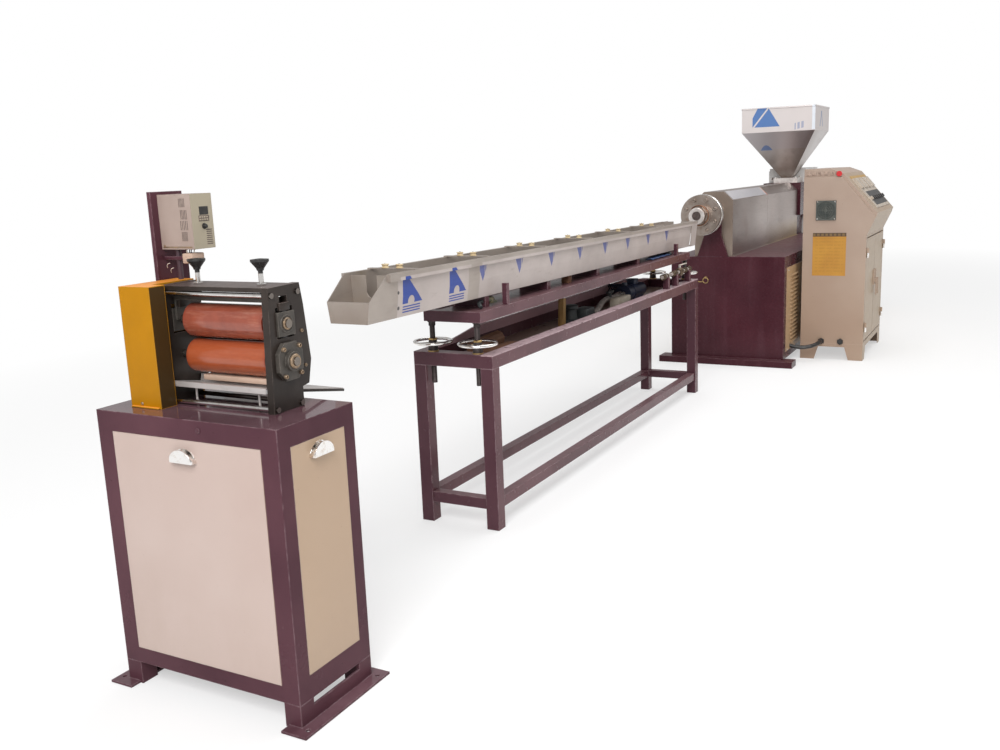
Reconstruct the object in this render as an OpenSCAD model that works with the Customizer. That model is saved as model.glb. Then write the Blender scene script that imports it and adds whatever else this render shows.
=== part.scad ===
// Plastic extrusion line: extruder on its base, control cabinet, cooling
// trough on an adjustable stand, and a two-roller haul-off.
// X runs from the haul-off to the hopper, Y = 0 is the axis of the barrel
// and Z = 0 is the floor. The origin lies under the middle of the extruder.

/* [Line] */
// Height of the barrel centre over the floor
line_h = 984; // [975:1:1000]
// Clear floor between the extruder base and the stand
stand_gap = 854; // [800:5:900]
// Clear floor between the stand and the haul-off
haul_gap = 1070; // [1000:5:1150]

/* [Extruder base] */
// Length of the base
base_l = 2900; // [2850:10:2960]
// Width of the base
base_w = 742; // [730:1:750]
// Height of the base
base_h = 703; // [695:1:710]
// Distance of the middle of the base from the barrel axis
base_off = 94; // [88:1:100]
// Height of the skids under the base
skid_h = 40; // [30:1:50]
// Width of a skid
skid_w = 120; // [100:5:140]
// Reach of the skids past the base
skid_lip = 69; // [50:1:80]
// Side panels on each side of the base
panel_n = 3; // [2:1:4]
// Thickness of a sheet panel
panel_t = 3; // [2:0.5:4]
// Painted frame left round each panel
panel_edge = 62; // [50:1:70]
// Louvres in each side panel
louvre_n = 18; // [12:1:20]
// Distance from the edge of a panel to its louvres
louvre_in = 138; // [120:2:150]
// Length of a louvre
louvre_l = 190; // [160:5:220]
// Height of a louvre
louvre_h = 12; // [8:1:14]
// Reach of a louvre from its panel
louvre_out = 8; // [5:1:10]

/* [Barrel and die] */
// Outer diameter of the barrel
barrel_d = 120; // [110:1:130]
// Bore of the barrel
bore_d = 64; // [58:1:66]
// Distance of the flange face in front of the base
flange_reach = 270; // [250:5:300]
// Diameter of the head flanges
flange_d = 250; // [236:2:260]
// Thickness of the two head flanges together
flange_t = 80; // [70:1:90]
// Gap between the two head flanges
flange_split = 6; // [4:1:10]
// Diameter of the die body
hub_d = 140; // [130:1:150]
// Reach of the die body from the flange
hub_t = 30; // [24:1:36]
// Width across the flats of the nozzle nut
nut_w = 96; // [80:1:110]
// Reach of the nozzle nut from the die body
nut_t = 45; // [36:1:50]
// Bore of the nozzle
nozzle_d = 58; // [40:1:62]
// Foot width of the barrel support
cradle_w = 204; // [190:1:220]
// Width of the barrel support under the barrel
cradle_top_w = 112; // [100:1:116]
// Thickness of the barrel support
cradle_t = 20; // [14:1:22]

/* [Barrel cover] */
// Width of the barrel cover
cover_w = 250; // [240:1:270]
// Width of the flat top of the cover
cover_top_w = 130; // [110:1:150]
// Height of the top of the cover over the barrel axis
cover_rise = 134; // [125:1:142]
// Drop of the bevel along the cover
cover_bevel = 56; // [40:1:60]
// Gap between the two lengths of the cover
cover_seam = 3; // [2:0.5:5]
// Clearance round the barrel in the cover
cover_play = 4; // [2:0.5:6]
// Length of the front cover
cover_front_l = 935; // [900:5:1000]

/* [Feed and hopper] */
// Distance of the hopper centre behind the front of the base
hopper_x = 2081; // [2050:1:2110]
// Length of the feed housing
feed_l = 200; // [180:5:220]
// Height of the feed housing over the barrel axis
feed_rise = 136; // [134:1:142]
// Width of the cheeks of the feed housing
cheek_w = 300; // [270:5:320]
// Depth of the cheeks below the barrel axis
cheek_drop = 124; // [100:2:140]
// Length of the gearbox
gear_l = 500; // [450:10:560]
// Width of the gearbox
gear_w = 320; // [280:5:340]
// Height of the gearbox over the barrel axis
gear_rise = 251; // [240:1:260]
// Width of the square hopper
hopper_w = 572; // [540:2:600]
// Height of the tapered part of the hopper
hopper_taper = 365; // [350:1:380]
// Depth of the straight band of the hopper
hopper_band = 188; // [170:1:210]
// Width of the square throat
throat_w = 84; // [80:1:100]
// Offset of the throat from the middle of the hopper
throat_off = 24; // [10:1:30]
// Sheet thickness of the hopper
hopper_t = 3; // [2:0.5:4]
// Thickness of the gate frame
gate_t = 40; // [34:1:44]
// Width of the gate frame
gate_w = 190; // [175:1:198]

/* [Control cabinet] */
// Length of the cabinet
cab_l = 785; // [770:1:800]
// Depth of the cabinet
cab_w = 395; // [380:1:410]
// Height of the cabinet
cab_h = 1184; // [1170:1:1200]
// Distance of the cabinet behind the front of the base
cab_x = 321; // [300:1:340]
// Distance of the back of the cabinet from the barrel axis
cab_y = 507; // [500:1:520]
// Flat depth of the cabinet top
cab_top = 234; // [220:1:245]
// Reach of the console past the doors
console_out = 52; // [40:1:60]
// Rise of the lid over the side walls
lid_h = 52; // [44:1:56]
// Seat of the lid inside the side walls
lid_in = 10; // [6:1:14]
// Distance of the fan from the back of the cabinet
fan_in = 143; // [130:1:160]
// Depth of the fan below the side walls
fan_drop = 211; // [200:1:220]
// Width of the fan guard
fan_w = 124; // [120:2:130]
// Height of the cable glands over the floor
gland_z = 122; // [118:1:126]
// Distance of the first gland from the back of the cabinet
gland_in = 134; // [120:1:150]
// Distance between the glands
gland_pitch = 120; // [100:5:140]
// Diameter of the cable hose
hose_d = 26; // [22:1:30]
// Distance of the instrument plate from the end of the console
meter_in = 120; // [100:5:140]
// Height of the console nose
console_z = 926; // [910:1:940]
// Height where the console meets the doors
console_foot = 812; // [800:1:830]
// Height of the open skirt
skirt_h = 107; // [95:1:115]
// Sheet thickness of the skirt
skirt_t = 3; // [2:0.5:4]
// Thickness of a door
door_t = 18; // [16:1:20]
// Gap round a door
door_gap = 7; // [7:0.5:9]
// Frame left beside the doors
door_edge = 26; // [24:1:32]
// Radius of the hinge pins
pin_r = 4; // [3.5:0.1:4.5]
// Running clearance of the hinge pins
pin_play = 0.05; // [0.03:0.01:0.08]
// Height of one hinge knuckle
knuckle_h = 30; // [24:1:36]

/* [Stand] */
// Length of the stand
stand_l = 2445; // [2400:5:2500]
// Width of the stand
stand_w = 332; // [320:1:344]
// Height of the stand
stand_h = 657; // [650:1:664]
// Square tube of the legs and the top rails
tube = 50; // [44:1:52]
// Square tube of the lower rails
low_tube = 40; // [34:1:42]
// Height of the lower rails
low_h = 117; // [100:1:140]
// Sheet thickness of the drip pan in the top frame
pan_t = 4; // [3:0.5:6]
// Height of the splash plate over the stand
splash_h = 38; // [30:1:44]
// Length of the sloping ends of the splash plate
splash_ramp = 320; // [280:10:360]
// Distance from the end of the stand to the pump motor
pump_in = 704; // [660:4:740]
// Radius of the pump motor
pump_r = 40; // [36:1:44]

/* [Trough lift] */
// Width of the sub-frame
sub_w = 240; // [230:1:250]
// Clear height between the stand and the sub-frame
lift_gap = 113; // [105:1:120]
// Depth of the sub-frame channel
sub_t = 40; // [36:1:42]
// Width of the sub-frame channel
sub_rail = 30; // [28:1:32]
// Height of the chairs on the sub-frame
chair_h = 45; // [40:1:50]
// Distance of the stub posts from the ends of the sub-frame
stub_in = 205; // [180:5:230]
// Height of the stub posts over the sub-frame
stub_h = 86; // [70:1:92]
// Radius of the jack screws
jack_r = 10; // [9:0.5:11]
// Length of the jack screws below the sub-frame
jack_l = 231; // [220:1:240]
// Running clearance round the jack screws
jack_play = 0.05; // [0.03:0.01:0.08]
// Distance of the jack screws from the axis
jack_y = 95; // [92:1:98]
// Radius of the handwheel ring
wheel_r = 60; // [54:1:66]
// Radius of the round bar of the handwheel ring
wheel_bar = 5; // [4:0.5:6]
// Height of the handwheel ring over the stand
wheel_z = 36; // [32:1:40]
// Clearance under the handwheel hub
wheel_gap = 0.3; // [0.2:0.05:0.4]

/* [Trough] */
// Length of the trough
trough_l = 3170; // [3140:5:3200]
// Reach of the trough past the stand towards the die
trough_out = 132; // [110:1:150]
// Fall of the trough from its mouth to the die end
trough_fall = 26; // [20:1:30]
// Width of the trough at the top
trough_w = 168; // [160:1:176]
// Width of the trough floor
trough_foot = 140; // [130:1:150]
// Height of the bend in the trough walls
wall_bend = 67; // [60:1:72]
// Depth of the trough
trough_d = 145; // [140:1:150]
// Sheet thickness of the trough
trough_t = 2.5; // [2:0.5:3]
// Height of the front lip
lip_h = 66; // [56:1:76]
// Length of the slanted mouth
mouth_l = 100; // [90:1:120]
// Width of the folded rim
rim_w = 10; // [8:1:12]
// Height of the folded rim
rim_h = 26; // [20:1:30]
// Roller guides along the trough
guide_n = 6; // [4:1:7]
// Distance from the lip to the first guide
guide_x = 250; // [220:5:280]
// Distance between two guides
guide_pitch = 480; // [440:5:500]
// Diameter of a guide roller
guide_d = 22; // [18:1:26]
// Distance from the lip to the first weir plate
weir_in = 130; // [115:1:150]
// Distance from the lip to the first drain cock
cock_in = 790; // [785:1:820]
// Distance from the die end to the second drain cock
cock_out = 240; // [200:5:280]

/* [Haul-off] */
// Length of the haul-off cabinet
haul_l = 284; // [280:1:290]
// Width of the haul-off cabinet
haul_w = 589; // [580:1:596]
// Height of the haul-off cabinet
haul_h = 746; // [740:1:752]
// Distance of its near side from the barrel axis
haul_y = 359; // [352:1:364]
// Height of the legs under the cabinet
haul_leg = 62; // [55:1:70]
// Frame left beside the cabinet panels
haul_edge = 52; // [48:1:58]
// Depth of the shell pulls below the table
pull_drop = 104; // [96:1:112]
// Radius of the shell pulls
pull_r = 39; // [34:1:42]
// Length of the foot plates
foot_l = 345; // [335:1:360]
// Width of the foot plates
foot_w = 76; // [70:1:84]
// Thickness of the foot plates
foot_t = 6; // [5:0.5:8]
// Diameter of the anchor holes
anchor_d = 12; // [10:1:14]

/* [Roller head] */
// Distance of the head behind the front of the cabinet
head_in = 120; // [114:1:126]
// Distance of the head from the near side of the cabinet
head_off = 98; // [92:1:104]
// Width of the head over its side plates
head_w = 360; // [356:1:364]
// Height of the side plates
head_h = 302; // [298:1:308]
// Depth of the side plates at the top
head_d = 114; // [112:1:118]
// Thickness of the side plates
plate_t = 20; // [18:1:22]
// Diameter of the rollers
roller_d = 86; // [82:1:87]
// Gap between the rollers
nip = 5; // [5:0.5:7]
// Height of the lower roller over the cabinet
roller_z = 121; // [119:1:123]
// Distance of the rollers behind the front of the head
roller_x = 51; // [49:1:53]
// Clearance at the near end of a roller
roller_gap = 15; // [12:0.5:18]
// Clearance at the far end of a roller
roller_far = 48; // [44:1:52]
// Radius of the roller shafts
shaft_r = 11; // [10:0.5:12]
// Running clearance of the shafts
shaft_play = 0.05; // [0.03:0.01:0.08]
// Width of the sliding bearing block
slide_w = 60; // [56:1:62]
// Height of the sliding bearing block
slide_h = 58; // [54:1:60]
// Clearance beside the sliding block
slide_gap = 0.4; // [0.3:0.05:0.5]
// Travel of the upper roller
roller_lift = 6; // [4:0.5:6]
// Radius of the pressure screws
screw_r = 6; // [5:0.5:7]
// Radius of the knobs
knob_r = 22.5; // [20:0.5:25]
// Distance of the near knob from the near plate
knob_near = 62; // [58:1:66]
// Distance of the far knob from the far plate
knob_far = 91; // [86:1:96]
// Length of the sloping tray
tray_l = 300; // [290:1:310]
// Slope of the tray in degrees
tray_a = 11.5; // [11:0.1:12]
// Height of the front of the tray over the cabinet
tray_h = 62; // [58:1:66]
// Width of the gear guard
guard_w = 105; // [100:1:108]
// Depth of the gear guard
guard_l = 192; // [186:1:198]
// Reach of the guard in front of the head
guard_out = 64; // [60:1:68]
// Height of the guard over the cabinet
guard_h = 306; // [302:1:312]

/* [Drive control] */
// Height of the post over the cabinet
post_h = 532; // [515:1:550]
// Distance of the post behind the front of the cabinet
post_in = 190; // [170:1:200]
// Width of the post
post_w = 108; // [100:1:112]
// Thickness of the post
post_t = 12; // [8:1:14]
// Width of the inverter
inv_w = 74; // [70:1:80]
// Depth of the inverter
inv_d = 115; // [110:1:120]
// Height of the inverter
inv_h = 140; // [130:1:146]

/* [Hidden] */
$fn = 48;
purple = [0.33, 0.2, 0.25];
cream = [0.87, 0.83, 0.75];
steel = [0.72, 0.72, 0.7];
chrome = [0.85, 0.85, 0.84];
black = [0.13, 0.12, 0.12];
beige = [0.8, 0.76, 0.68];
eps = 1;

xb = -base_l / 2;
base_y0 = -base_w / 2 - base_off;
base_y1 = base_w / 2 - base_off;
stand_x1 = xb - stand_gap;
stand_x0 = stand_x1 - stand_l;
haul_x1 = stand_x0 - haul_gap;
haul_x0 = haul_x1 - haul_l;
haul_y0 = -haul_y;
haul_y1 = haul_y0 + haul_w;

feed_x0 = xb + hopper_x - feed_l / 2;
feed_x1 = feed_x0 + feed_l;
cover_x0 = xb + cradle_t + 5;
cover_x2 = cover_x0 + cover_front_l;
barrel_x0 = xb - flange_reach + flange_t;
cover_h = line_h + cover_rise;
feed_h = line_h + feed_rise;
gear_h = line_h + gear_rise;
throat_z = feed_h + gate_t;
cone_h = throat_z + hopper_taper;
hopper_h = cone_h + hopper_band;

cab_x0 = xb + cab_x;
cab_y1 = -cab_y;
cab_y0 = cab_y1 - cab_w;
door_w = (cab_l - 2 * door_edge - 3 * door_gap) / 2;
door_z0 = skirt_h + 22;
door_z1 = console_foot - 22;
door_y = cab_y0;
lid_z = cab_h + lid_h;
gland_y = [cab_y1 - gland_in, cab_y1 - gland_in - gland_pitch];

sub_in = (tube - sub_rail) / 2;
sub_h = stand_h + lift_gap + sub_t;
deck_t = 3;
sub_x0 = stand_x0 + sub_in;
sub_x1 = stand_x1 - sub_in;
jack_x0 = stand_x0 + tube / 2;
jack_x1 = stand_x1 - tube / 2;

trough_x1 = stand_x1 + trough_out;
trough_x0 = trough_x1 - trough_l;
trough_z = sub_h + chair_h;
fall_a = atan(trough_fall / trough_l);

head_y0 = haul_y0 + head_off;
head_y1 = head_y0 + head_w;
head_x0 = haul_x0 + head_in;
head_x1 = head_x0 + head_d;
nip_x = head_x0 + roller_x;
low_z = haul_h + roller_z;
up_z = low_z + roller_d + nip;
yoke_z = up_z + roller_d / 2 + 8;
yoke_t = 10;
top_t = 11;
top_z = haul_h + head_h - top_t;
guard_x0 = head_x0 - guard_out;
guard_y0 = head_y1 - 2 * plate_t;
guard_y1 = guard_y0 + guard_w;
post_x0 = haul_x0 + post_in;
post_y0 = guard_y1 + 2;

// A box between two corners
module block(a, b) {
    translate(a) cube(b - a);
}
// A profile drawn in X and Z, run along Y from y0 to y1
module along_y(y0, y1) {
    translate([0, y1, 0]) rotate([90, 0, 0]) linear_extrude(y1 - y0) children();
}
// A profile drawn in Y and Z, run along X from x0 to x1
module along_x(x0, x1) {
    translate([x0, 0, 0]) rotate([90, 0, 90]) linear_extrude(x1 - x0) children();
}
// A round bar along X, Y or Z
module bar_x(x0, x1, y, z, r) {
    translate([x0, y, z]) rotate([0, 90, 0]) cylinder(r = r, h = x1 - x0);
}
module bar_y(y0, y1, x, z, r) {
    translate([x, y1, z]) rotate([90, 0, 0]) cylinder(r = r, h = y1 - y0);
}
module bar_z(z0, z1, x, y, r) {
    translate([x, y, z0]) cylinder(r = r, h = z1 - z0);
}

// Extruder base

// Cross bars that the base stands on, at both ends and in the middle
module base_skids() {
    color(purple)
    for (x = [xb, 0, -xb])
        block([x - skid_w / 2, base_y0 - skid_lip, 0],
            [x + skid_w / 2, base_y1 + skid_lip, skid_h]);
}

panel_w = (base_l - (panel_n + 1) * panel_edge) / panel_n;
panel_z0 = skid_h + panel_edge * 0.7;
panel_z1 = base_h - panel_edge * 1.2;
function panel_x(i) = xb + panel_edge + i * (panel_w + panel_edge);

// Painted box with a shallow seat for every side panel
module extruder_base() {
    color(purple)
    difference() {
        block([xb, base_y0, skid_h], [-xb, base_y1, base_h]);
        for (i = [0:panel_n - 1]) {
            block([panel_x(i), base_y0 - eps, panel_z0],
                [panel_x(i) + panel_w, base_y0 + panel_t, panel_z1]);
            block([panel_x(i), base_y1 - panel_t, panel_z0],
                [panel_x(i) + panel_w, base_y1 + eps, panel_z1]);
        }
    }
}

// One louvre: a pressed hood that opens downwards
module louvre(x, z) {
    along_x(x, x + louvre_l)
        translate([base_y0, z])
        polygon([[panel_t, 0], [0, 0], [-louvre_out, 0],
            [-louvre_out, louvre_h * 0.25], [0, louvre_h], [panel_t, louvre_h]]);
}
module side_panel(i) {
    pitch = (panel_z1 - panel_z0 - 80) / louvre_n;
    union() {
        block([panel_x(i), base_y0, panel_z0],
            [panel_x(i) + panel_w, base_y0 + panel_t, panel_z1]);
        for (k = [0:louvre_n - 1])
            louvre(panel_x(i) + louvre_in, panel_z0 + 40 + k * pitch);
    }
}
module base_panels() {
    color(cream)
    for (i = [0:panel_n - 1]) {
        side_panel(i);
        translate([0, -2 * base_off, 0]) mirror([0, 1, 0]) side_panel(i);
    }
}

// Barrel and die

// Tapered plate that carries the front of the barrel
module barrel_support() {
    rise = (cradle_w - cradle_top_w) * 1.5;
    color(purple)
    difference() {
        along_x(xb + 2, xb + 2 + cradle_t)
            polygon([[-cradle_w / 2, base_h], [cradle_w / 2, base_h],
                [cradle_top_w / 2, base_h + rise],
                [cradle_top_w / 2, line_h - barrel_d / 2 + 12],
                [-cradle_top_w / 2, line_h - barrel_d / 2 + 12],
                [-cradle_top_w / 2, base_h + rise]]);
        bar_x(xb, xb + 2 * cradle_t, 0, line_h, barrel_d / 2);
    }
}

module barrel() {
    color(steel)
    difference() {
        bar_x(barrel_x0, feed_x0, 0, line_h, barrel_d / 2);
        bar_x(barrel_x0 - eps, feed_x0 + eps, 0, line_h, bore_d / 2);
    }
}

// Two bolted flanges, the die body and a hexagonal nozzle nut, bored through
module die_head() {
    face = xb - flange_reach;
    color(steel)
    difference() {
        union() {
            bar_x(face, face + (flange_t - flange_split) / 2, 0, line_h,
                flange_d / 2);
            bar_x(face + (flange_t + flange_split) / 2, face + flange_t, 0,
                line_h, flange_d / 2);
            bar_x(face, face + flange_t, 0, line_h, flange_d / 2 - 14);
            bar_x(face - hub_t, face, 0, line_h, hub_d / 2);
            translate([face - hub_t - nut_t, 0, line_h]) rotate([0, 90, 0])
                rotate(15) cylinder(r = nut_w / sqrt(3), h = nut_t, $fn = 6);
        }
        bar_x(face - hub_t - nut_t - eps, face + flange_t + eps, 0, line_h,
            nozzle_d / 2);
    }
}

module cover_profile() {
    w = cover_w / 2;
    t = cover_top_w / 2;
    polygon([[-w, base_h], [w, base_h], [w, cover_h - cover_bevel],
        [t, cover_h], [-t, cover_h], [-w, cover_h - cover_bevel]]);
}
// Closed covers round the heated barrel, in two lengths
module barrel_covers() {
    color(steel)
    for (x = [[cover_x0, cover_x2 - cover_seam], [cover_x2, feed_x0]])
        difference() {
            along_x(x[0], x[1]) cover_profile();
            bar_x(x[0] - eps, x[1] + eps, 0, line_h,
                barrel_d / 2 + cover_play);
        }
}

// Feed section, gearbox and hopper

// Square way for the granules, down to the barrel
module throat_bore(z0, z1) {
    s = throat_w / 2 - hopper_t;
    block([xb + hopper_x - s, -throat_off - s, z0],
        [xb + hopper_x + s, -throat_off + s, z1]);
}
module feed_housing() {
    color(purple)
    difference() {
        union() {
            block([feed_x0, -cover_w / 2, base_h],
                [feed_x1, cover_w / 2, feed_h]);
            block([feed_x0, -cheek_w / 2, line_h - cheek_drop],
                [feed_x1, cheek_w / 2, feed_h]);
        }
        throat_bore(line_h, feed_h + eps);
    }
}

module gearbox() {
    rib = 14;
    color(cream)
    union() {
        block([feed_x1, -gear_w / 2 + rib, base_h],
            [feed_x1 + gear_l, gear_w / 2 - rib, gear_h]);
        block([feed_x1, -gear_w / 2, base_h],
            [feed_x1 + gear_l, gear_w / 2, base_h + 30]);
        block([feed_x1, -gear_w / 2, line_h - 12],
            [feed_x1 + gear_l, gear_w / 2, line_h + 12]);
        for (i = [0:4])
            block([feed_x1 + 30 + i * (gear_l - 74) / 4, -gear_w / 2, base_h],
                [feed_x1 + 44 + i * (gear_l - 74) / 4, gear_w / 2, gear_h - 20]);
    }
}

// Outline of the hopper seen from one side
module hopper_side(inset, up, down, off) {
    w = hopper_w / 2 - inset;
    t = throat_w / 2 - inset;
    polygon([[-t - off, throat_z - down], [t - off, throat_z - down],
        [t - off, throat_z], [w, cone_h], [w, hopper_h + up],
        [-w, hopper_h + up], [-w, cone_h], [-t - off, throat_z]]);
}
module hopper_form(inset, up, down) {
    intersection() {
        translate([xb + hopper_x, 0, 0])
            along_y(-hopper_w, hopper_w) hopper_side(inset, up, down, 0);
        translate([xb + hopper_x, 0, 0])
            along_x(-hopper_w, hopper_w)
            hopper_side(inset, up, down, throat_off);
    }
}
module hopper() {
    color(steel)
    difference() {
        hopper_form(0, 0, 0);
        hopper_form(hopper_t, eps, eps);
    }
}

// Gate frame under the hopper with a slide pulled out to the far side
module hopper_gate() {
    x = xb + hopper_x;
    s = throat_w / 2 + 6;
    y0 = -throat_off + s + 4;
    y1 = gate_w / 2 - throat_off;
    z = feed_h + gate_t / 2;
    color(chrome) {
        difference() {
            block([x - gate_w / 2, y1 - gate_w, feed_h],
                [x + gate_w / 2, y1, throat_z]);
            throat_bore(feed_h - eps, throat_z + eps);
            block([x - s, y0, z], [x + s, y1 + eps, z + 4]);
        }
        union() {
            block([x - s, y0, z], [x + s, y1 + 30, z + 4]);
            block([x - s, y1 + 26, z], [x + s, y1 + 30, z + 24]);
        }
    }
}

// Control cabinet

module cabinet_profile() {
    polygon([[cab_y1, skirt_h], [cab_y1, cab_h], [cab_y1 - cab_top, cab_h],
        [cab_y0 - console_out, console_z], [cab_y0, console_foot],
        [cab_y0, skirt_h]]);
}
lid_y0 = cab_y1 - cab_top - 5;
lid_z0 = lid_z - 31;
nose_y = cab_y0 - console_out - 8;
nose_z = console_z + 26;
module lid_profile() {
    polygon([[cab_y1, cab_h], [cab_y1, lid_z], [lid_y0 + 81, lid_z],
        [lid_y0, lid_z0], [nose_y, nose_z],
        [cab_y0 - console_out, console_z], [cab_y1 - cab_top, cab_h - 10]]);
}
module control_cabinet() {
    color(beige)
    difference() {
        union() {
            along_x(cab_x0, cab_x0 + cab_l) cabinet_profile();
            along_x(cab_x0 + lid_in, cab_x0 + cab_l - lid_in) lid_profile();
        }
        block([cab_x0 + door_edge, cab_y0 - eps, door_z0 - door_gap],
            [cab_x0 + cab_l - door_edge, cab_y0 + door_t + 5,
            door_z1 + door_gap]);
    }
}

// Open skirt: four tapered sheet legs joined at the top
module skirt_gap(w) {
    polygon([[-w / 2, -eps], [w / 2, -eps], [w / 2 - 26, skirt_h - 22],
        [-w / 2 + 26, skirt_h - 22]]);
}
module cabinet_skirt() {
    color(beige)
    difference() {
        block([cab_x0, cab_y0, 0], [cab_x0 + cab_l, cab_y1, skirt_h]);
        block([cab_x0 + skirt_t, cab_y0 + skirt_t, -eps],
            [cab_x0 + cab_l - skirt_t, cab_y1 - skirt_t, skirt_h + eps]);
        translate([0, (cab_y0 + cab_y1) / 2, 0])
            along_x(cab_x0 - eps, cab_x0 + cab_l + eps)
            skirt_gap(cab_w - 178);
        translate([cab_x0 + cab_l / 2, 0, 0])
            along_y(cab_y0 - eps, cab_y1 + eps) skirt_gap(cab_l - 2 * 80);
    }
}

hinge_z = [door_z0 + 60, door_z1 - 60 - 2 * knuckle_h];
knuckle_r = pin_r + 4;
hinge_y = cab_y0 - knuckle_r;
hinge_x0 = cab_x0 + door_edge - knuckle_r;
hinge_x1 = cab_x0 + cab_l - door_edge + knuckle_r;

// Fixed knuckle and its pin, on the frame beside each door
module fixed_hinge(x) {
    for (z = hinge_z) {
        bar_z(z, z + knuckle_h, x, hinge_y, knuckle_r);
        bar_z(z + knuckle_h, z + 2 * knuckle_h, x, hinge_y, pin_r);
    }
}
module door_hinges() {
    color(chrome) {
        fixed_hinge(hinge_x0);
        fixed_hinge(hinge_x1);
    }
}

// Door leaf with its two bored knuckles and a handle at the free edge
module door_leaf(x0, x1, hx, free) {
    s = hx < x0 ? 1 : -1;
    difference() {
        union() {
            block([x0, cab_y0, door_z0], [x1, cab_y0 + door_t, door_z1]);
            for (z = hinge_z) {
                bar_z(z + knuckle_h + 0.3, z + 2 * knuckle_h, hx, hinge_y,
                    knuckle_r);
                block([min(hx, hx + s * (knuckle_r + door_gap + 14)),
                    cab_y0 - 3, z + knuckle_h + 0.3],
                    [max(hx, hx + s * (knuckle_r + door_gap + 14)),
                    cab_y0, z + 2 * knuckle_h]);
            }
            block([free - 9, cab_y0 - 10, door_z0 + 330],
                [free + 9, cab_y0, door_z0 + 430]);
            block([free - 7, cab_y0 - 26, door_z0 + 350],
                [free + 7, cab_y0 - 10, door_z0 + 372]);
            block([free - 7, cab_y0 - 26, door_z0 + 262],
                [free + 7, cab_y0 - 18, door_z0 + 372]);
        }
        for (z = hinge_z)
            bar_z(z + knuckle_h - eps, z + 2 * knuckle_h + eps, hx, hinge_y,
                pin_r + pin_play);
    }
}
door_x0 = cab_x0 + door_edge + door_gap;
module cabinet_door_near() {
    color(beige)
    door_leaf(door_x0, door_x0 + door_w, hinge_x0, door_x0 + door_w - 30);
}
module cabinet_door_far() {
    x = door_x0 + door_w + door_gap;
    color(beige) door_leaf(x, x + door_w, hinge_x1, x + 30);
}

// Instrument plate on the slope of the lid, and the stop button on its end
module console_panel() {
    run = lid_y0 - nose_y;
    fall = lid_z0 - nose_z;
    slope = atan2(fall, run);
    l = cab_l - meter_in - 60;
    d = norm([run, fall]);
    color(black) {
        translate([cab_x0 + meter_in, lid_y0, lid_z0]) rotate([slope, 0, 0])
            mirror([0, 1, 0]) union() {
                block([0, d * 0.1, 0], [l, d * 0.9, 4]);
                for (i = [0:3])
                    block([l * (0.05 + i * 0.24), d * 0.18, 3],
                        [l * (0.22 + i * 0.24), d * 0.42, 16]);
                for (i = [0:6])
                    translate([l * (0.08 + i * 0.14), d * 0.68, 3])
                        cylinder(r = 13, h = 16);
            }
        union() {
            bar_x(cab_x0 + lid_in - 16, cab_x0 + lid_in, lid_y0 + 20,
                lid_z0 - 2, 9);
            bar_x(cab_x0 + lid_in - 28, cab_x0 + lid_in - 16, lid_y0 + 20,
                lid_z0 - 2, 17);
        }
    }
}

// Square fan guard with a round slotted grille
module fan_grille() {
    y = cab_y1 - fan_in;
    z = cab_h - fan_drop;
    w = fan_w / 2;
    color(black)
    difference() {
        block([cab_x0 - 10, y - w, z - w], [cab_x0, y + w, z + w]);
        for (r = [0.3, 0.5, 0.7, 0.9]) difference() {
            bar_x(cab_x0 - 10 - eps, cab_x0 - 3, y, z, r * w);
            bar_x(cab_x0 - 10 - 2 * eps, cab_x0, y, z, (r - 0.12) * w);
            block([cab_x0 - 20, y - w, z - 3], [cab_x0, y + w, z + 3]);
            block([cab_x0 - 20, y - 3, z - w], [cab_x0, y + 3, z + w]);
        }
    }
}
// Two glands low on the end of the cabinet, each a nut with a round collar
module cable_glands() {
    color(black)
    for (y = gland_y)
        union() {
            translate([cab_x0 - 8, y, gland_z]) rotate([0, 90, 0])
                cylinder(r = hose_d / 2 + 8, h = 8, $fn = 6);
            bar_x(cab_x0 - 16, cab_x0 - 8, y, gland_z, hose_d / 2 + 4);
        }
}
// Cable hose from the first gland down to the side of the base
hose = [[cab_x0 - 16, gland_y[0], gland_z],
    [cab_x0 - 40, gland_y[0] + 1, gland_z - 1],
    [cab_x0 - 66, gland_y[0] + 7, gland_z - 5],
    [cab_x0 - 90, gland_y[0] + 22, gland_z - 12],
    [cab_x0 - 108, gland_y[0] + 46, gland_z - 20],
    [cab_x0 - 119, gland_y[0] + 76, gland_z - 26],
    [cab_x0 - 125, gland_y[0] + 108, gland_z - 28],
    [cab_x0 - 127, gland_y[0] + 142, gland_z - 25],
    [cab_x0 - 127, base_y0, gland_z - 18]];
hose_n = 12;
function unit(v) = v / norm(v);
function hose_way(i) = i == 0 ? [-1, 0, 0] : i == len(hose) - 1 ? [0, 1, 0]
    : unit(hose[i + 1] - hose[i - 1]);
function hose_u(i) = unit(cross([0, 0, 1], hose_way(i)));
function hose_point(i, k) = hose[i] + hose_d / 2 * (cos(k * 360 / hose_n)
    * hose_u(i) + sin(k * 360 / hose_n) * cross(hose_way(i), hose_u(i)));
module cabinet_hose() {
    m = len(hose);
    n = hose_n;
    color(black)
    polyhedron(
        points = [for (i = [0:m - 1], k = [0:n - 1]) hose_point(i, k)],
        faces = concat([[for (k = [0:n - 1]) k]],
            [[for (k = [0:n - 1]) m * n - 1 - k]],
            [for (i = [0:m - 2], k = [0:n - 1])
                [i * n + k, (i + 1) * n + k, (i + 1) * n + (k + 1) % n]],
            [for (i = [0:m - 2], k = [0:n - 1])
                [i * n + k, (i + 1) * n + (k + 1) % n, i * n + (k + 1) % n]]));
}

// Stand

leg_y = stand_w / 2;
module stand_legs() {
    color(purple)
    for (x = [stand_x0, stand_x1 - tube], y = [-leg_y, leg_y - tube])
        block([x, y, 0], [x + tube, y + tube, stand_h - tube]);
}
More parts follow.
